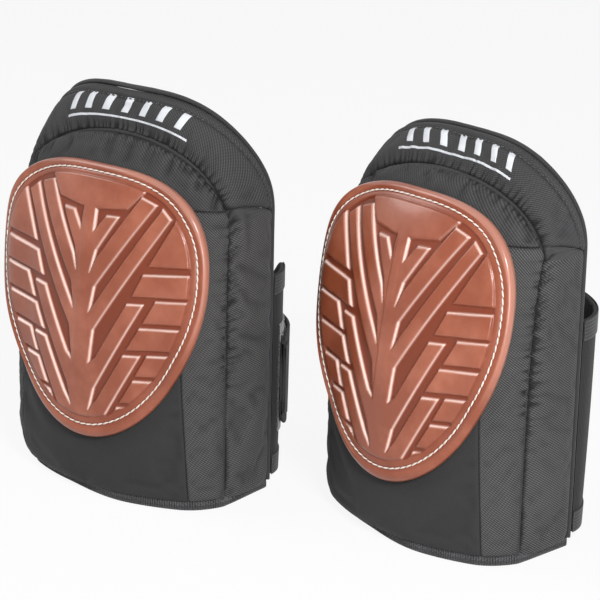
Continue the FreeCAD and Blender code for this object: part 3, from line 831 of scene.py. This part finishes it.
def softened(values, reach):
    # average over neighbouring grid points, nearer ones counting more
    def weights(n):
        w = np.exp(-0.5 * ((np.arange(n)[:, None] - np.arange(n)[None]) / reach) ** 2)
        return w / w.sum(1, keepdims=True)
    return weights(values.shape[0]) @ values @ weights(values.shape[1]).T


def clothMap(pad, surface, g, outer):
    # threads run level and upright round the pad, and along the arch on the top band; in mm
    a, b = surface.place(g["u"], g["v"])
    across = pad.k["mirror"] * a
    if surface.isFront:
        return np.stack([across, b], -1)
    if np.abs(a).min() > 0.8:
        beyond = form["seamS"] + b * pad.stripWidth(a)
        return np.stack([np.sign(across) * beyond, form["seamZ"] * (2 - np.abs(a))], -1)
    n, m = a.shape
    return np.stack(np.meshgrid(pathLength(outer[:, m // 2]), pathLength(outer[n // 2]), indexing="ij"), -1)


def makePanel(pad, name, surface, offsets, under, slot, finishList, nodes, share=1.0):
    # the cloth is blown out on a coarse grid and detailed on a fine one: the surface, moved out along its normal
    # by what offsets(g, fine) gives for its edges and folds and by its share of the swelling
    probe = gridLengths(surface(*np.meshgrid(np.linspace(0, 1, 30), np.linspace(0, 1, 30), indexing="ij"), 0.0))
    long, wide = probe["lowU"][-1].max(), probe["lowV"][:, -1].max()
    grids = []
    for cellU, cellV in ((padding["coarseCell"],) * 2, (padding["fineAlong"], padding["fineAcross"])):
        n, m = max(9, int(long / cellU)), max(9, int(wide / cellV))
        u, v = np.meshgrid(np.linspace(0, 1, n), np.linspace(0, 1, m), indexing="ij")
        g = gridLengths(surface(u, v, 0.0))
        g["u"], g["v"] = u, v
        grids.append(g)
    coarse, g = grids
    off = offsets(coarse, False)
    rest = surface(coarse["u"], coarse["v"], off)
    normals = unit(surface(coarse["u"], coarse["v"], off + 1.0) - rest)
    rise = swell(pad.side + name, pad.world(rest), pad.world(rest + normals) - pad.world(rest))
    rise = cubicRows(rest.shape[0], g["u"].shape[0]) @ rise @ cubicRows(rest.shape[1], g["u"].shape[1]).T
    if surface.isFront:
        s, z = surface.place(g["u"], g["v"])
        rise = rise * smooth((eggShare(s, z) - 0.99) / 0.14)     # the cap presses the cloth flat beneath it
    off = offsets(g, True) + rise * share
    outer = surface(g["u"], g["v"], off)
    inner = surface(g["u"], g["v"], np.minimum(under, off - 0.6))
    # painted shade: how far each point lies below the cloth round it, as a share of the depth that looks darkest, plus
    # the painted shade along the seams
    paintedShade = np.clip((softened(off, 3.0) - off) / padding["shadeDeep"] + g.get("shade", 0), 0, 1)
    piece = slabPiece(pad.side + name, pad.world(outer), pad.world(inner), clothMap(pad, surface, g, outer), finishList,
                      paintedShade)
    finishPiece(piece, pad.side + "_shell", slot, *[pad.side + "_" + x for x in nodes])
    return off


def legWaver(d, z, seed):
    # the leg seam's waver, dying away from the seam and towards the foot and the arch
    return seamWaver(z, seed) * np.exp(-d / 5) * smooth((z - 60) / 50) * smooth((186 - z) / 8)


def archTop(pad, s):
    # height of the arch seam above a point of the front, less a hair
    return 0.9998 * pad.archHeight(plan(s)[0])


def splitHeight(pad, s):
    # height of the horizontal seam, which meets the arch seam at the pad's sides
    return np.minimum(form["splitZ"], archTop(pad, s) - 0.25)


def splitShift(z):
    # the seam beside the lower panel leans outwards towards the foot
    return 4.0 * np.clip((60 - z) / 60, -0.8, 1)


def frontSurface(pad, s0, s1, low, high, leanLow=0.0, leanHigh=0.0, seed=0.0):
    # part of the front between two arc lengths; low and high give heights, or are heights
    def place(u, v):
        s = blendTo(s0, s1, u)
        bottom = low(s) if callable(low) else low
        top = high(s) if callable(high) else high
        z = blendTo(bottom, top, 1 - (1 - v) ** 1.5 if callable(low) else v)
        s = s + blendTo(leanLow * splitShift(z), leanHigh * splitShift(z), u)
        waver = legWaver(np.maximum(form["seamS"] - np.abs(s), 0), z, seed)
        return (s + np.sign(s) * waver if seed else s), z

    def surface(u, v, off):
        return pad.front(*place(u, v), off)
    surface.place, surface.isFront = place, True
    return surface


def stripSurface(pad, t0, t1, inset0, inset1, seed=0.0):
    # part of the strip outside the seam; its end slants where t0 or t1 is a function of the share across
    def place(u, v):
        start = t0(v) if callable(t0) else t0
        end = t1(v) if callable(t1) else t1
        t = blendTo(start, end, u)
        wide = pad.stripWidth(t)
        w = blendTo(inset0 / wide, 1 - inset1 / wide, v)
        waver = legWaver(w * wide, form["seamZ"] * (2 - np.abs(t)), seed)
        return t, (w + waver / wide if seed else w)

    def surface(u, v, off):
        return pad.strip(*place(u, v), off)
    surface.place, surface.isFront = place, False
    return surface


def footLeft(pad, s):
    # 1 on the side towards -X as the pads stand, 0 on the other
    return smooth((20 - s * pad.k["mirror"]) / 70)


def footHeight(pad, s):
    # the cloth ends low where it rolls under, and higher where the hem shows below it
    return form["panelFoot"] + form["footLift"] * (1 - footLeft(pad, s))


def footRoll(pad, s, z):
    # the cloth rolls in under the foot, deeper and rounder on the side towards -X
    left = footLeft(pad, s)
    deep, reach = blendTo(2.6, pad.k["rollDeep"], left), blendTo(7.0, pad.k["rollReach"], left)
    return edgeDrop(z - footHeight(pad, s), deep, reach)


def makeFront(pad):
    # four stretches of the front surface, lowered at their seams, and folded and gathered beside them
    flat = (padding["flatDeep"], padding["flatReach"])
    seed = seeds[pad.side]

    upper = frontSurface(pad, 1 - form["seamS"], form["seamS"] - 1,
                         lambda s: splitHeight(pad, s) + form["seamGap"], lambda s: archTop(pad, s))

    def upperOff(g, fine):
        off = seamDrop(g["highV"], 12.0) + edgeDrop(g["lowV"], 0.9, 3.0)
        along = g["lowU"][:, -1:] + 0 * off
        fold = np.maximum(wander(along / 13.0, seed), 0) * smooth(g["highV"] / 7) * smooth((36 - g["highV"]) / 26)
        off = off - 1.3 * fold
        if fine:
            off = off + pleats(along, g["highV"], 2.8, 5.4, seed, gathers["top"])
            g["shade"] = pinchShade(along, g["highV"], seed, gathers["top"], 3.4)
        return off
    makePanel(pad, "UpperPanel", upper, upperOff, -padding["under"], "fine_fabric", [finishes["fine"]],
              ["upper_front_panel"])

    split = form["panelSplit"] - 0.2
    lower = frontSurface(pad, -split, split, form["panelFoot"], form["seamZ"], -1.0, 1.0)
    lower = liftFoot(pad, lower)

    def lowerOff(g, fine):
        s, z = lower.place(g["u"], g["v"])
        return edgeDrop(np.minimum(g["lowU"], g["highU"]), *flat) + footRoll(pad, s, z) + edgeDrop(g["highV"], 0.8, 3.0)
    makePanel(pad, "LowerPanel", lower, lowerOff, -padding["under"], "fine_fabric", [finishes["smooth"]],
              ["lower_front_panel"], share=0.45)

    for side, sign in (("outboard", -1.0), ("inboard", 1.0)):
        ends = sorted((sign * (form["panelSplit"] - 0.1), sign * (form["seamS"] - 0.1)))
        leans = (0.0, -1.0) if sign < 0 else (1.0, 0.0)
        strip = frontSurface(pad, *ends, form["panelFoot"], lambda s: splitHeight(pad, s),
                             *leans, seed=seed + sign)
        strip = liftFoot(pad, strip)

        def stripOff(g, fine):
            s, z = strip.place(g["u"], g["v"])
            toSeam, toPanel = (g["highU"], g["lowU"]) if sign > 0 else (g["lowU"], g["highU"])
            off = seamDrop(toSeam) + edgeDrop(toPanel, *flat) + footRoll(pad, s, z)
            off = off + edgeDrop(g["highV"], 1.4, 4.0)
            if fine:
                high = smooth((z - 60) / 50)
                off = off + pleats(z, toSeam, 3.2, 5.4, seed + sign, gathers["strip"]) * high
                g["shade"] = pinchShade(z, toSeam, seed + sign, gathers["strip"], 5.0, high)
                off = off + pleats(s, g["highV"], 0.8, 3.0, seed + 1, gathers["level"])
            return off
        makePanel(pad, side.capitalize() + "Strip", strip, stripOff, -padding["under"], "coarse_fabric",
                  [finishes["coarse"]], [side + "_front_strip"], share=0.7 * pad.k["puff"])


def liftFoot(pad, surface):
    # raises the foot of a front panel to the cloth's own lower edge, less and less up to 60 mm
    whole = surface.place

    def place(u, v):
        s, z = whole(u, v)
        return s, z + (footHeight(pad, s) - form["panelFoot"]) * (1 - smooth(z / 60))

    def lifted(u, v, off):
        return pad.front(*place(u, v), off)
    lifted.place, lifted.isFront = place, True
    return lifted


def slantEnd(v, gap):
    # where the strip's wing and top band meet: level with the front's seam, down to the rear edge
    return 1.0 - form["splitSlant"] * (1 - v) ** 1.2 + gap


def makeStrips(pad):
    # three stretches of the strip surface: two wings and the top band over the arch
    seed, slit = seeds[pad.side], form["slit"]
    for side, sign in (("outboard", -1.0), ("inboard", 1.0)):
        wing = stripSurface(pad, sign * form["wingFoot"], lambda v: sign * slantEnd(v, slit), form["seamGap"], faceRim,
                            seed + sign)

        def wingOff(g, fine):
            z = g["lowU"]
            off = seamDrop(g["lowV"]) + edgeDrop(g["highV"], 2.4, 7.0) + edgeDrop(g["highU"], 1.5, 4.0)
            off = off + edgeDrop(g["lowU"], 4.2, 12.0)
            fold = wander((z + 0.7 * g["lowV"]) / 15.0, seed + sign) * smooth(g["lowV"] / 9) * smooth(g["highV"] / 8)
            off = off + 0.7 * fold * smooth((z - 60) / 60)
            if fine:
                high = 0.15 + 0.85 * smooth((z - 60) / 50)
                off = off + pleats(z, g["lowV"], 3.3, 6.4, seed + sign, gathers["strip"]) * high
                # painted shade: dark along the gathered seam, and darker towards the wing's rear edge
                seamShade = pinchShade(z, g["lowV"], seed + sign, gathers["strip"], 5.6, high)
                g["shade"] = seamShade + 0.3 * np.exp(-g["highV"] / 5.0)
                off = off + pleats(g["lowV"], g["highU"], 0.8, 3.4, seed, gathers["band"])
            return off
        makePanel(pad, side.capitalize() + "Wing", wing, wingOff, -form["padBack"] - 1.3, "coarse_fabric",
                  [finishes["coarse"], finishes["lining"]],
                  [side + "_wing_panel", side + "_wing_foam", side + "_wing_lining"], share=pad.k["puff"])

    top = stripSurface(pad, lambda v: -slantEnd(v, -slit), lambda v: slantEnd(v, -slit), form["seamGap"], faceRim)

    def topOff(g, fine):
        off = seamDrop(g["lowV"]) + edgeDrop(g["highV"], 1.2, 4.0)
        off = off + edgeDrop(np.minimum(g["lowU"], g["highU"]), 1.4, 4.0)
        along = g["lowU"][:, :1] + 0 * off
        off = off - rimSeam["deep"] * np.exp(-((g["highV"] - rimSeam["inset"]) / rimSeam["wide"]) ** 2)
        if fine:
            middle = smooth((1 - np.abs(2 * g["u"] - 0.86)) / 0.45)
            folds = pleats(along, g["lowV"], 3.0, 4.4 + 2.0 * middle, seed, gathers["band"])
            off = off + folds * (0.55 + 0.45 * middle)
            g["shade"] = pinchShade(along, g["lowV"], seed, gathers["band"], 3.8)
        return off
    off = makePanel(pad, "TopBand", top, topOff, -form["padBack"], "fine_fabric",
                    [finishes["fine"], finishes["lining"]], ["top_band_panel", "top_band_foam"], share=0.7)
    makeRimSeam(pad, top, off)
    makeMark(pad, top, off)


# the stitched line inside the outer edge, and the printed mark as shares of the top band
rimSeam = {"inset": 5.6, "deep": 1.5, "wide": 1.5}
mark = {"bars": 7, "pitch": 0.11, "half": 0.02, "slant": 0.035, "low": 0.40, "high": 0.72, "line": 0.38,
        "lineLow": 0.27, "lineHigh": 0.31, "thick": 0.3}


def makeRimSeam(pad, top, off):
    # stitches at one distance from the outer edge, on the band's finished face
    u = np.linspace(0.006, 0.994, 700)
    t, _ = top.place(u, np.full_like(u, 0.85))
    span = pad.stripWidth(t) - form["seamGap"] - faceRim
    v = 1 - rimSeam["inset"] / span
    high = sampleGrid(off, u, v) + 0.2
    path = pad.world(top(u, v, high))
    normals = pad.world(top(u, v, high + 1.0)) - path
    piece = makeStitches(pad.side + "RimStitching", path, normals, stitchForm["seamPitch"], stitchForm["seamLong"],
                         stitchForm["seamWide"], 0.0, finishes["darkThread"])
    finishPiece(piece, pad.side + "_shell", "thread")


def makeMark(pad, top, off):
    # seven slanted bars over a thin line, each lying on the band's finished face
    parts, start = [], 0
    for k in range(mark["bars"] + 1):
        size = (12, 24) if k < mark["bars"] else (160, 6)
        a, b = np.meshgrid(np.linspace(0, 1, size[0]), np.linspace(0, 1, size[1]), indexing="ij")
        if k < mark["bars"]:
            t = mark["pitch"] * (k - 3) + mark["half"] * (2 * a - 1) + mark["slant"] * (b - 0.5)
            w = blendTo(mark["low"], mark["high"], b)
        else:
            t, w = mark["line"] * (2 * a - 1), blendTo(mark["lineLow"], mark["lineHigh"], b)
        wide = pad.stripWidth(t)
        v = (w - form["seamGap"] / wide) / (1 - (form["seamGap"] + faceRim) / wide)
        u = 0.5 + 0.5 * t / slantEnd(v, -form["slit"])
        high = sampleGrid(off, u, v)
        outer = pad.world(pad.strip(t, w, high + mark["thick"] * (1 - 0.5 * np.abs(2 * a - 1) ** 8)))
        inner = pad.world(pad.strip(t, w, high - 0.4))
        points, faces, _ = slabMesh(outer, inner)
        uv = np.stack([a * size[0], b * size[1]], -1).reshape(-1, 2)
        parts.append((points, faces + start, np.concatenate([uv, uv])))
        start += len(points)
    piece = makePiece(pad.side + "PrintMark", np.concatenate([p[0] for p in parts]),
                      np.concatenate([p[1] for p in parts]), np.concatenate([p[2] for p in parts]), [finishes["ink"]])
    finishPiece(piece, pad.side + "_shell", "print", pad.side + "_print_mark")


# the pad behind the front: foam, gel and lining as one quilted body
backPad = {"front": -7.1, "back": -16.7, "reach": 89.5, "foot": 6.4, "edge": 5.5, "channel": 1.5,
           "gel": (54.0, 58.0, 128.0), "grid": 150}


def makeBackPad(pad):
    # the front surface moved back, pressed in along an oval round the gel and along level rows outside it
    surface = frontSurface(pad, -backPad["reach"], backPad["reach"], backPad["foot"],
                           lambda s: 0.93 * pad.archHeight(plan(s)[0]))
    n = backPad["grid"]
    u, v = np.meshgrid(np.linspace(0, 1, n), np.linspace(0, 1, n), indexing="ij")
    g = gridLengths(surface(u, v, backPad["back"]))
    s, z = surface.place(u, v)
    border = np.minimum(np.minimum(g["lowU"], g["highU"]), np.minimum(g["lowV"], g["highV"]))
    halfS, halfZ, middle = backPad["gel"]
    oval = (np.abs(s / halfS) ** 3.2 + np.abs((z - middle) / halfZ) ** 3.2) ** (1 / 3.2)
    channel = np.exp(-(((oval - 1) * 52) / 1.7) ** 2)
    rows = np.exp(-((np.abs((z - middle + 14) % 28 - 14)) / 1.5) ** 2) * smooth((oval - 1.04) / 0.03)
    back = backPad["back"] - edgeDrop(border, backPad["edge"], 10.0)
    back = np.maximum(back + backPad["channel"] * np.maximum(channel, 0.7 * rows), backPad["back"] - 0.2)
    low = np.minimum(backPad["front"], footRoll(pad, s, z) - 1.0)
    face = surface(u, v, back)
    uv = np.stack(np.meshgrid(pathLength(face[:, n // 2]), pathLength(face[n // 2]), indexing="ij"), -1)
    piece = slabPiece(pad.side + "KneeLining", pad.world(face), pad.world(surface(u, v, low)), uv,
                      [finishes["lining"]])
    finishPiece(piece, pad.side + "_shell", "lining",
                *[pad.side + x for x in ("_front_foam", "_gel_insert", "_front_lining")])


# bound outer edge with the cord behind the seams, and ribbed hem
edgeForm = {"half": (1.7, 4.85), "middle": -4.45, "end": 1.965, "rings": 560, "round": 16}
cordForm = {"radius": 2.6, "end": 1.97, "rings": 520, "round": 10, "rise": 0.9}
hemForm = {"high": 6.8, "thick": 3.0, "inset": (10.6, 4.6), "wingInset": 3.4, "reach": 138.0,
           "rib": 1.6, "ribDeep": 0.42}


def makeEdge(pad):
    # superellipse section carried along the outer edge, its width uneven by a twentieth
    t = np.linspace(-edgeForm["end"], edgeForm["end"], 4001)
    along = pathLength(pad.stripPoint(t, np.ones_like(t)))
    t = np.interp(np.linspace(0, along[-1], edgeForm["rings"]), along, t)
    c = np.arange(edgeForm["round"]) / edgeForm["round"] * 2 * math.pi
    a, b = edgeForm["half"]
    x = a * np.sign(np.cos(c)) * np.abs(np.cos(c)) ** 0.7
    y = b * np.sign(np.sin(c)) * np.abs(np.sin(c)) ** 0.7 + edgeForm["middle"]
    wide = pad.stripWidth(t)[:, None]
    bead = 1 + 0.05 * wander(np.linspace(0, along[-1], edgeForm["rings"])[:, None] / 9.0, 2.0)
    w = 1 - (form["edgeWide"] / 2 - x[None] * bead) / wide
    rings = pad.world(pad.strip(t[:, None], w, y[None] + 0 * w, bulge=0.0))
    piece = tubePiece(pad.side + "EdgeBinding", rings, finishes["binding"])
    finishPiece(piece, pad.side + "_shell", "binding", pad.side + "_edge_binding")


def makeSeamTape(pad):
    # round cord behind the arch and leg seams, so that no light shows between the panels
    t = np.linspace(-cordForm["end"], cordForm["end"], cordForm["rings"])
    c = np.arange(cordForm["round"]) / cordForm["round"] * 2 * math.pi
    w = cordForm["radius"] * np.cos(c)[None] / pad.stripWidth(t)[:, None]
    off = cordForm["radius"] * (np.sin(c)[None] - 1) - padding["seamDeep"] + cordForm["rise"] + 0 * w
    piece = tubePiece(pad.side + "SeamTape", pad.world(pad.strip(t[:, None], w, off, bulge=0.0)), finishes["binding"])
    finishPiece(piece, pad.side + "_shell", "binding")


def hemLine(pad, p):
    # follows the front at the floor, then runs straight to the wing's rear foot
    a, sign = np.abs(p), np.where(p < 0, -1.0, 1.0)
    q = pad.frontPoint(np.minimum(a, form["seamS"]), np.zeros_like(a))
    f = np.clip((a - form["seamS"]) / (hemForm["reach"] - form["seamS"]), 0, 1)
    x = np.where(a <= form["seamS"], q[..., 0], blendTo(seamX, wingX, f))
    y = np.where(a <= form["seamS"], q[..., 1], blendTo(q[..., 1], form["wingY"] - 1.2, f))
    flat = form["frontRadius"] * math.radians(form["frontAngle"])
    angle = np.minimum(a, flat) / form["frontRadius"]
    angle = angle + np.maximum(0, np.minimum(a, form["seamS"]) - flat) / form["cornerRadius"]
    angle = blendTo(angle, math.pi / 2, smooth((a - form["seamS"]) / 12))
    deep, shallow = hemForm["inset"]
    inset = blendTo(deep, shallow, smooth((p * pad.k["mirror"] + 30) / 60))
    inset = blendTo(inset, hemForm["wingInset"], smooth((a - form["seamS"] + 14) / 26))
    return x, y, angle, inset, sign


def makeHem(pad):
    # oval section along the hem line, swelling and narrowing once per overlock rib
    p = np.linspace(-hemForm["reach"], hemForm["reach"], int(2 * hemForm["reach"] / hemForm["rib"] * 5))[:, None]
    x, y, angle, inset, sign = hemLine(pad, p)
    c = (np.arange(14) / 14 * 2 * math.pi)[None]
    rib = 1 - hemForm["ribDeep"] * (1 - np.abs(np.sin(math.pi * p / hemForm["rib"])) ** 0.7)
    o = -inset + hemForm["thick"] / 2 * np.sign(np.cos(c)) * np.abs(np.cos(c)) ** 0.8 * rib
    z = hemForm["high"] / 2 * (1 + np.sign(np.sin(c)) * np.abs(np.sin(c)) ** 0.7 * (0.94 + 0.06 * rib)) + 0 * p
    rings = pad.world(stack(sign * (x + np.sin(angle) * o), y - np.cos(angle) * o, z))
    piece = tubePiece(pad.side + "BottomHem", rings, finishes["hem"])
    finishPiece(piece, pad.side + "_shell", "binding", pad.side + "_bottom_hem")


# leg bands, their woven bindings and the closure; angles in degrees, from 0 at the inboard wing round behind
# the leg to 180 at the outboard one
bandForm = {"bendEnd": 170, "shortDraw": (11.0, 17.0), "longDraw": 3.0, "tapeWide": 13.0, "tapeThick": 0.7,
            "tapeGap": 0.12, "gripThick": 1.1, "faces": 46, "turns": 5}


def flatRing(high, thick, rows, turns):
    # a flat section with half-round edges: shares of the height and of the thickness
    e = thick / 2 / high
    side = np.linspace(e, 1 - e, rows)
    turn = np.linspace(math.pi / 2, -math.pi / 2, turns + 2)[1:-1]
    z = np.concatenate([side, 1 - e + e * np.cos(turn), side[::-1], e - e * np.cos(turn)])
    o = np.concatenate([np.ones(rows), 0.5 + 0.5 * np.sin(turn), np.zeros(rows), 0.5 - 0.5 * np.sin(turn)])
    return z, o


def bandPiece(pad, name, d0, d1, zAt, offAt, rows, finish, waviness=0.0, rings=None):
    # the flat section carried round the leg ellipse between two angles
    deg = np.linspace(d0, d1, rings or max(10, int(abs(d1 - d0) * 1.1)))[:, None]
    low, high = zAt(deg)
    inside, outside = offAt(deg)
    z, o = flatRing(float(np.mean(high - low)), float(np.mean(outside - inside)), rows, bandForm["turns"])
    wave = waviness * wander(deg / 6.0 + z[None] * 3.0, 4.0)
    points = pad.band(deg, blendTo(low, high, z[None]), blendTo(inside, outside, o[None]) + wave)
    return tubePiece(pad.side + name, pad.world(points), finish)


def shortZ(deg):
    # lower and upper edge of the short band, narrower towards its free end
    f = smooth((deg - 30) / 25)
    up, down = bandForm["shortDraw"]
    return form["bandLow"] + up * f, form["bandHigh"] - down * f


def longZ(deg):
    # lower and upper edge of the long band, drawn in to the closure tab's width
    f, more = smooth((112 - deg) / 50), bandForm["longDraw"]
    return blendTo(form["bandLow"], form["tabLow"] - more, f), blendTo(form["bandHigh"], form["tabHigh"] + more, f)


def flatOff(deg):
    # inner and outer face, the outer one on the ellipse itself
    return -form["bandThick"] + 0 * deg, 0 * deg


def longOff(deg):
    # inner and outer face, rising over the short band near the closure
    rise = (form["tabOff"] - 0.15) * smooth((84 - deg) / 18)
    return rise - form["bandThick"], rise


def makeTapes(pad, name, d0, d1, zAt, offAt, body, node):
    # a flat tape on the band's face along its upper edge and its lower one
    for level in ("Upper", "Lower"):
        def tapeZ(deg):
            low, high = zAt(deg)
            return (high - bandForm["tapeWide"], high) if level == "Upper" else (low, low + bandForm["tapeWide"])

        def tapeOff(deg):
            base = offAt(deg)[1] + bandForm["tapeGap"]
            return base, base + bandForm["tapeThick"]
        piece = bandPiece(pad, name + level, d0, d1, tapeZ, tapeOff, 10, finishes["tape"])
        finishPiece(piece, body, "binding", *([pad.side + node] if level == "Upper" else []))


def rootBend(pad):
    # the band's root at the wing's rear edge: the shell's and the band's names, and two points in m, one on the rear
    # edge and one a few mm round the band, square to that edge
    def at(deg, z):
        return pad.world(pad.band(np.array(float(deg)), np.array(float(z)), np.array(0.0)))
    start, up = at(180, 75), unit(at(180, 95) - at(180, 75))
    along = at(bandForm["bendEnd"], 75) - start
    along = along - up * (along * up).sum()
    return pad.side + "_shell", pad.side + "_leg_band", tuple(start * mm), tuple((start + along) * mm)


def makeBands(pad):
    # flat sections on the leg ellipse: a short band, a long one, and the tab that closes them
    side = pad.side
    shell, closure = side + "_shell", side + "_closure"
    leg = rootBend(pad)
    piece = bandPiece(pad, "ShortBand", 0, 55, shortZ, flatOff, bandForm["faces"], finishes["band"])
    finishPiece(piece, shell, "stretch_band", side + "_short_band")
    makeTapes(pad, "ShortBinding", 0.5, 54, shortZ, flatOff, shell, "_short_band_binding")
    piece = bandPiece(pad, "LongBand", 180, 62, longZ, longOff, bandForm["faces"], finishes["band"])
    finishPiece(piece, leg, "stretch_band", side + "_long_band")
    makeTapes(pad, "LongBinding", 179.5, 66, longZ, longOff, leg, "_long_band_binding")

    def roundEnd(low, high, end, radius):
        # corners of the free end, rounded in the band's own plane
        def zAt(deg):
            back = np.clip(1 - np.abs(deg - end) * 0.84 / radius, 0, 1)
            cut = radius * (1 - np.sqrt(1 - back ** 2 * 0.98))
            return low + cut, high - cut
        return zAt

    def tabOff(deg):
        return form["tabOff"] + 0 * deg, form["tabOff"] + form["tabThick"] + 0 * deg
    piece = bandPiece(pad, "ClosureTab", 60.8, 6, roundEnd(form["tabLow"], form["tabHigh"], 6, 9.0), tabOff, 34,
                      finishes["webbing"], rings=110)
    finishPiece(piece, closure, "webbing", side + "_closure_tab")

    def gripOff(deg):
        base = form["tabOff"] + form["tabThick"] + bandForm["tapeGap"]
        return base + 0 * deg, base + bandForm["gripThick"] + 0 * deg
    piece = bandPiece(pad, "TabGrip", 13, 7, roundEnd(form["tabLow"] + 8, form["tabHigh"] - 8, 7, 3.0), gripOff, 24,
                      finishes["binding"], rings=16)
    finishPiece(piece, closure, "webbing", side + "_tab_grip")
    for node, body in (("_loop_patch", shell), ("_hook_patch", closure)):
        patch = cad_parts[side + node]
        patch.data.materials.clear()
        patch.data.materials.append(finishes["pile"])


for side in padForms:
    pad = Pad(side)
    makeCap(pad)
    makeCapStitches(pad)
    makeFront(pad)
    makeStrips(pad)
    makeBackPad(pad)
    makeEdge(pad)
    makeSeamTape(pad)
    makeHem(pad)
    makeBands(pad)
    print(side, "pad made")


# floor, light and camera: a lamp is its place, its size in mm and its power
studio = {"floor": (236, 237, 238), "floorHalf": 6.0, "glow": 0.9, "world": 0.16,
          "lamps": {"key": ((1180, -720, 1000), 420, 24.0), "low": ((1250, -950, 230), 500, 8.0),
                    "fill": ((-1050, -620, 1150), 900, 9.0)},
          "camera": {"target": (28.0, -28.9, 140.26), "azimuth": 42.4, "elevation": 18.85, "distance": 1634.5,
                     "lens": 161.82}}


def addMath(tree, operation, first, second):
    # a Math node on a socket and on another socket or a number
    node = tree.nodes.new("ShaderNodeMath")
    node.operation = operation
    tree.links.new(first, node.inputs[0])
    if isinstance(second, float):
        node.inputs[1].default_value = second
    else:
        tree.links.new(second, node.inputs[1])
    return node.outputs[0]


def seenStraight(tree):
    # 1 for what is seen straight, in gloss or through glass, and 0 for what lights the object
    path = tree.nodes.new("ShaderNodeLightPath").outputs
    also = addMath(tree, "MAXIMUM", path["Is Glossy Ray"], path["Is Transmission Ray"])
    return addMath(tree, "MAXIMUM", path["Is Camera Ray"], also)


def mixShaders(tree, factor, first, second, output):
    both = tree.nodes.new("ShaderNodeMixShader")
    for k, socket in enumerate((factor, first, second)):
        tree.links.new(socket, both.inputs[k])
    tree.links.new(both.outputs[0], output.inputs[0])


def makeStudio():
    world = bpy.data.worlds.new("studio")
    bpy.context.scene.world = world
    world.use_nodes = True
    tree = world.node_tree
    tree.nodes.clear()
    skies = []
    for strength in (studio["world"], 1.0):
        sky = tree.nodes.new("ShaderNodeBackground")
        sky.inputs["Color"].default_value = (1, 1, 1, 1)
        sky.inputs["Strength"].default_value = strength
        skies.append(sky.outputs[0])
    mixShaders(tree, seenStraight(tree), *skies, tree.nodes.new("ShaderNodeOutputWorld"))

    mesh = bpy.data.meshes.new("floor")
    half = studio["floorHalf"]
    mesh.from_pydata([(-half, -half, 0), (half, -half, 0), (half, half, 0), (-half, half, 0)], [], [(0, 1, 2, 3)])
    floor = bpy.data.objects.new("floor", mesh)
    bpy.context.scene.collection.objects.link(floor)
    paint = bpy.data.materials.new("paleFloor")
    paint.use_nodes = True
    tree = paint.node_tree
    shader = tree.nodes["Principled BSDF"]
    shader.inputs["Base Color"].default_value = colour(*studio["floor"])
    shader.inputs["Roughness"].default_value = 0.9
    glow = tree.nodes.new("ShaderNodeEmission")
    glow.inputs["Color"].default_value = (1, 1, 1, 1)
    share = addMath(tree, "MULTIPLY", seenStraight(tree), studio["glow"])      # what is left shows the shadow
    mixShaders(tree, share, shader.outputs[0], glow.outputs[0], tree.nodes["Material Output"])
    mesh.materials.append(paint)

    for name, (place, size, power) in studio["lamps"].items():
        lamp = bpy.data.lights.new(name, "AREA")
        lamp.shape, lamp.size, lamp.energy = "DISK", size * mm, power
        holder = bpy.data.objects.new(name, lamp)
        holder.location = Vector(place) * mm
        holder.rotation_euler = (Vector((0, 0, 120)) * mm - holder.location).to_track_quat("-Z", "Y").to_euler()
        bpy.context.scene.collection.objects.link(holder)


def makeCamera():
    c = studio["camera"]
    azimuth, elevation = math.radians(c["azimuth"]), math.radians(c["elevation"])
    out = math.cos(elevation)
    back = Vector((math.sin(azimuth) * out, -math.cos(azimuth) * out, math.sin(elevation)))
    data = bpy.data.cameras.new("camera")
    data.lens, data.sensor_width, data.clip_end = c["lens"], 36.0, 50.0
    camera = bpy.data.objects.new("camera", data)
    camera.location = (Vector(c["target"]) + back * c["distance"]) * mm
    camera.rotation_euler = (-back).to_track_quat("-Z", "Y").to_euler()
    bpy.context.scene.collection.objects.link(camera)
    bpy.context.scene.camera = camera


makeStudio()
makeCamera()
bpy.context.scene.view_settings.view_transform = "Standard"
print("studio ready")
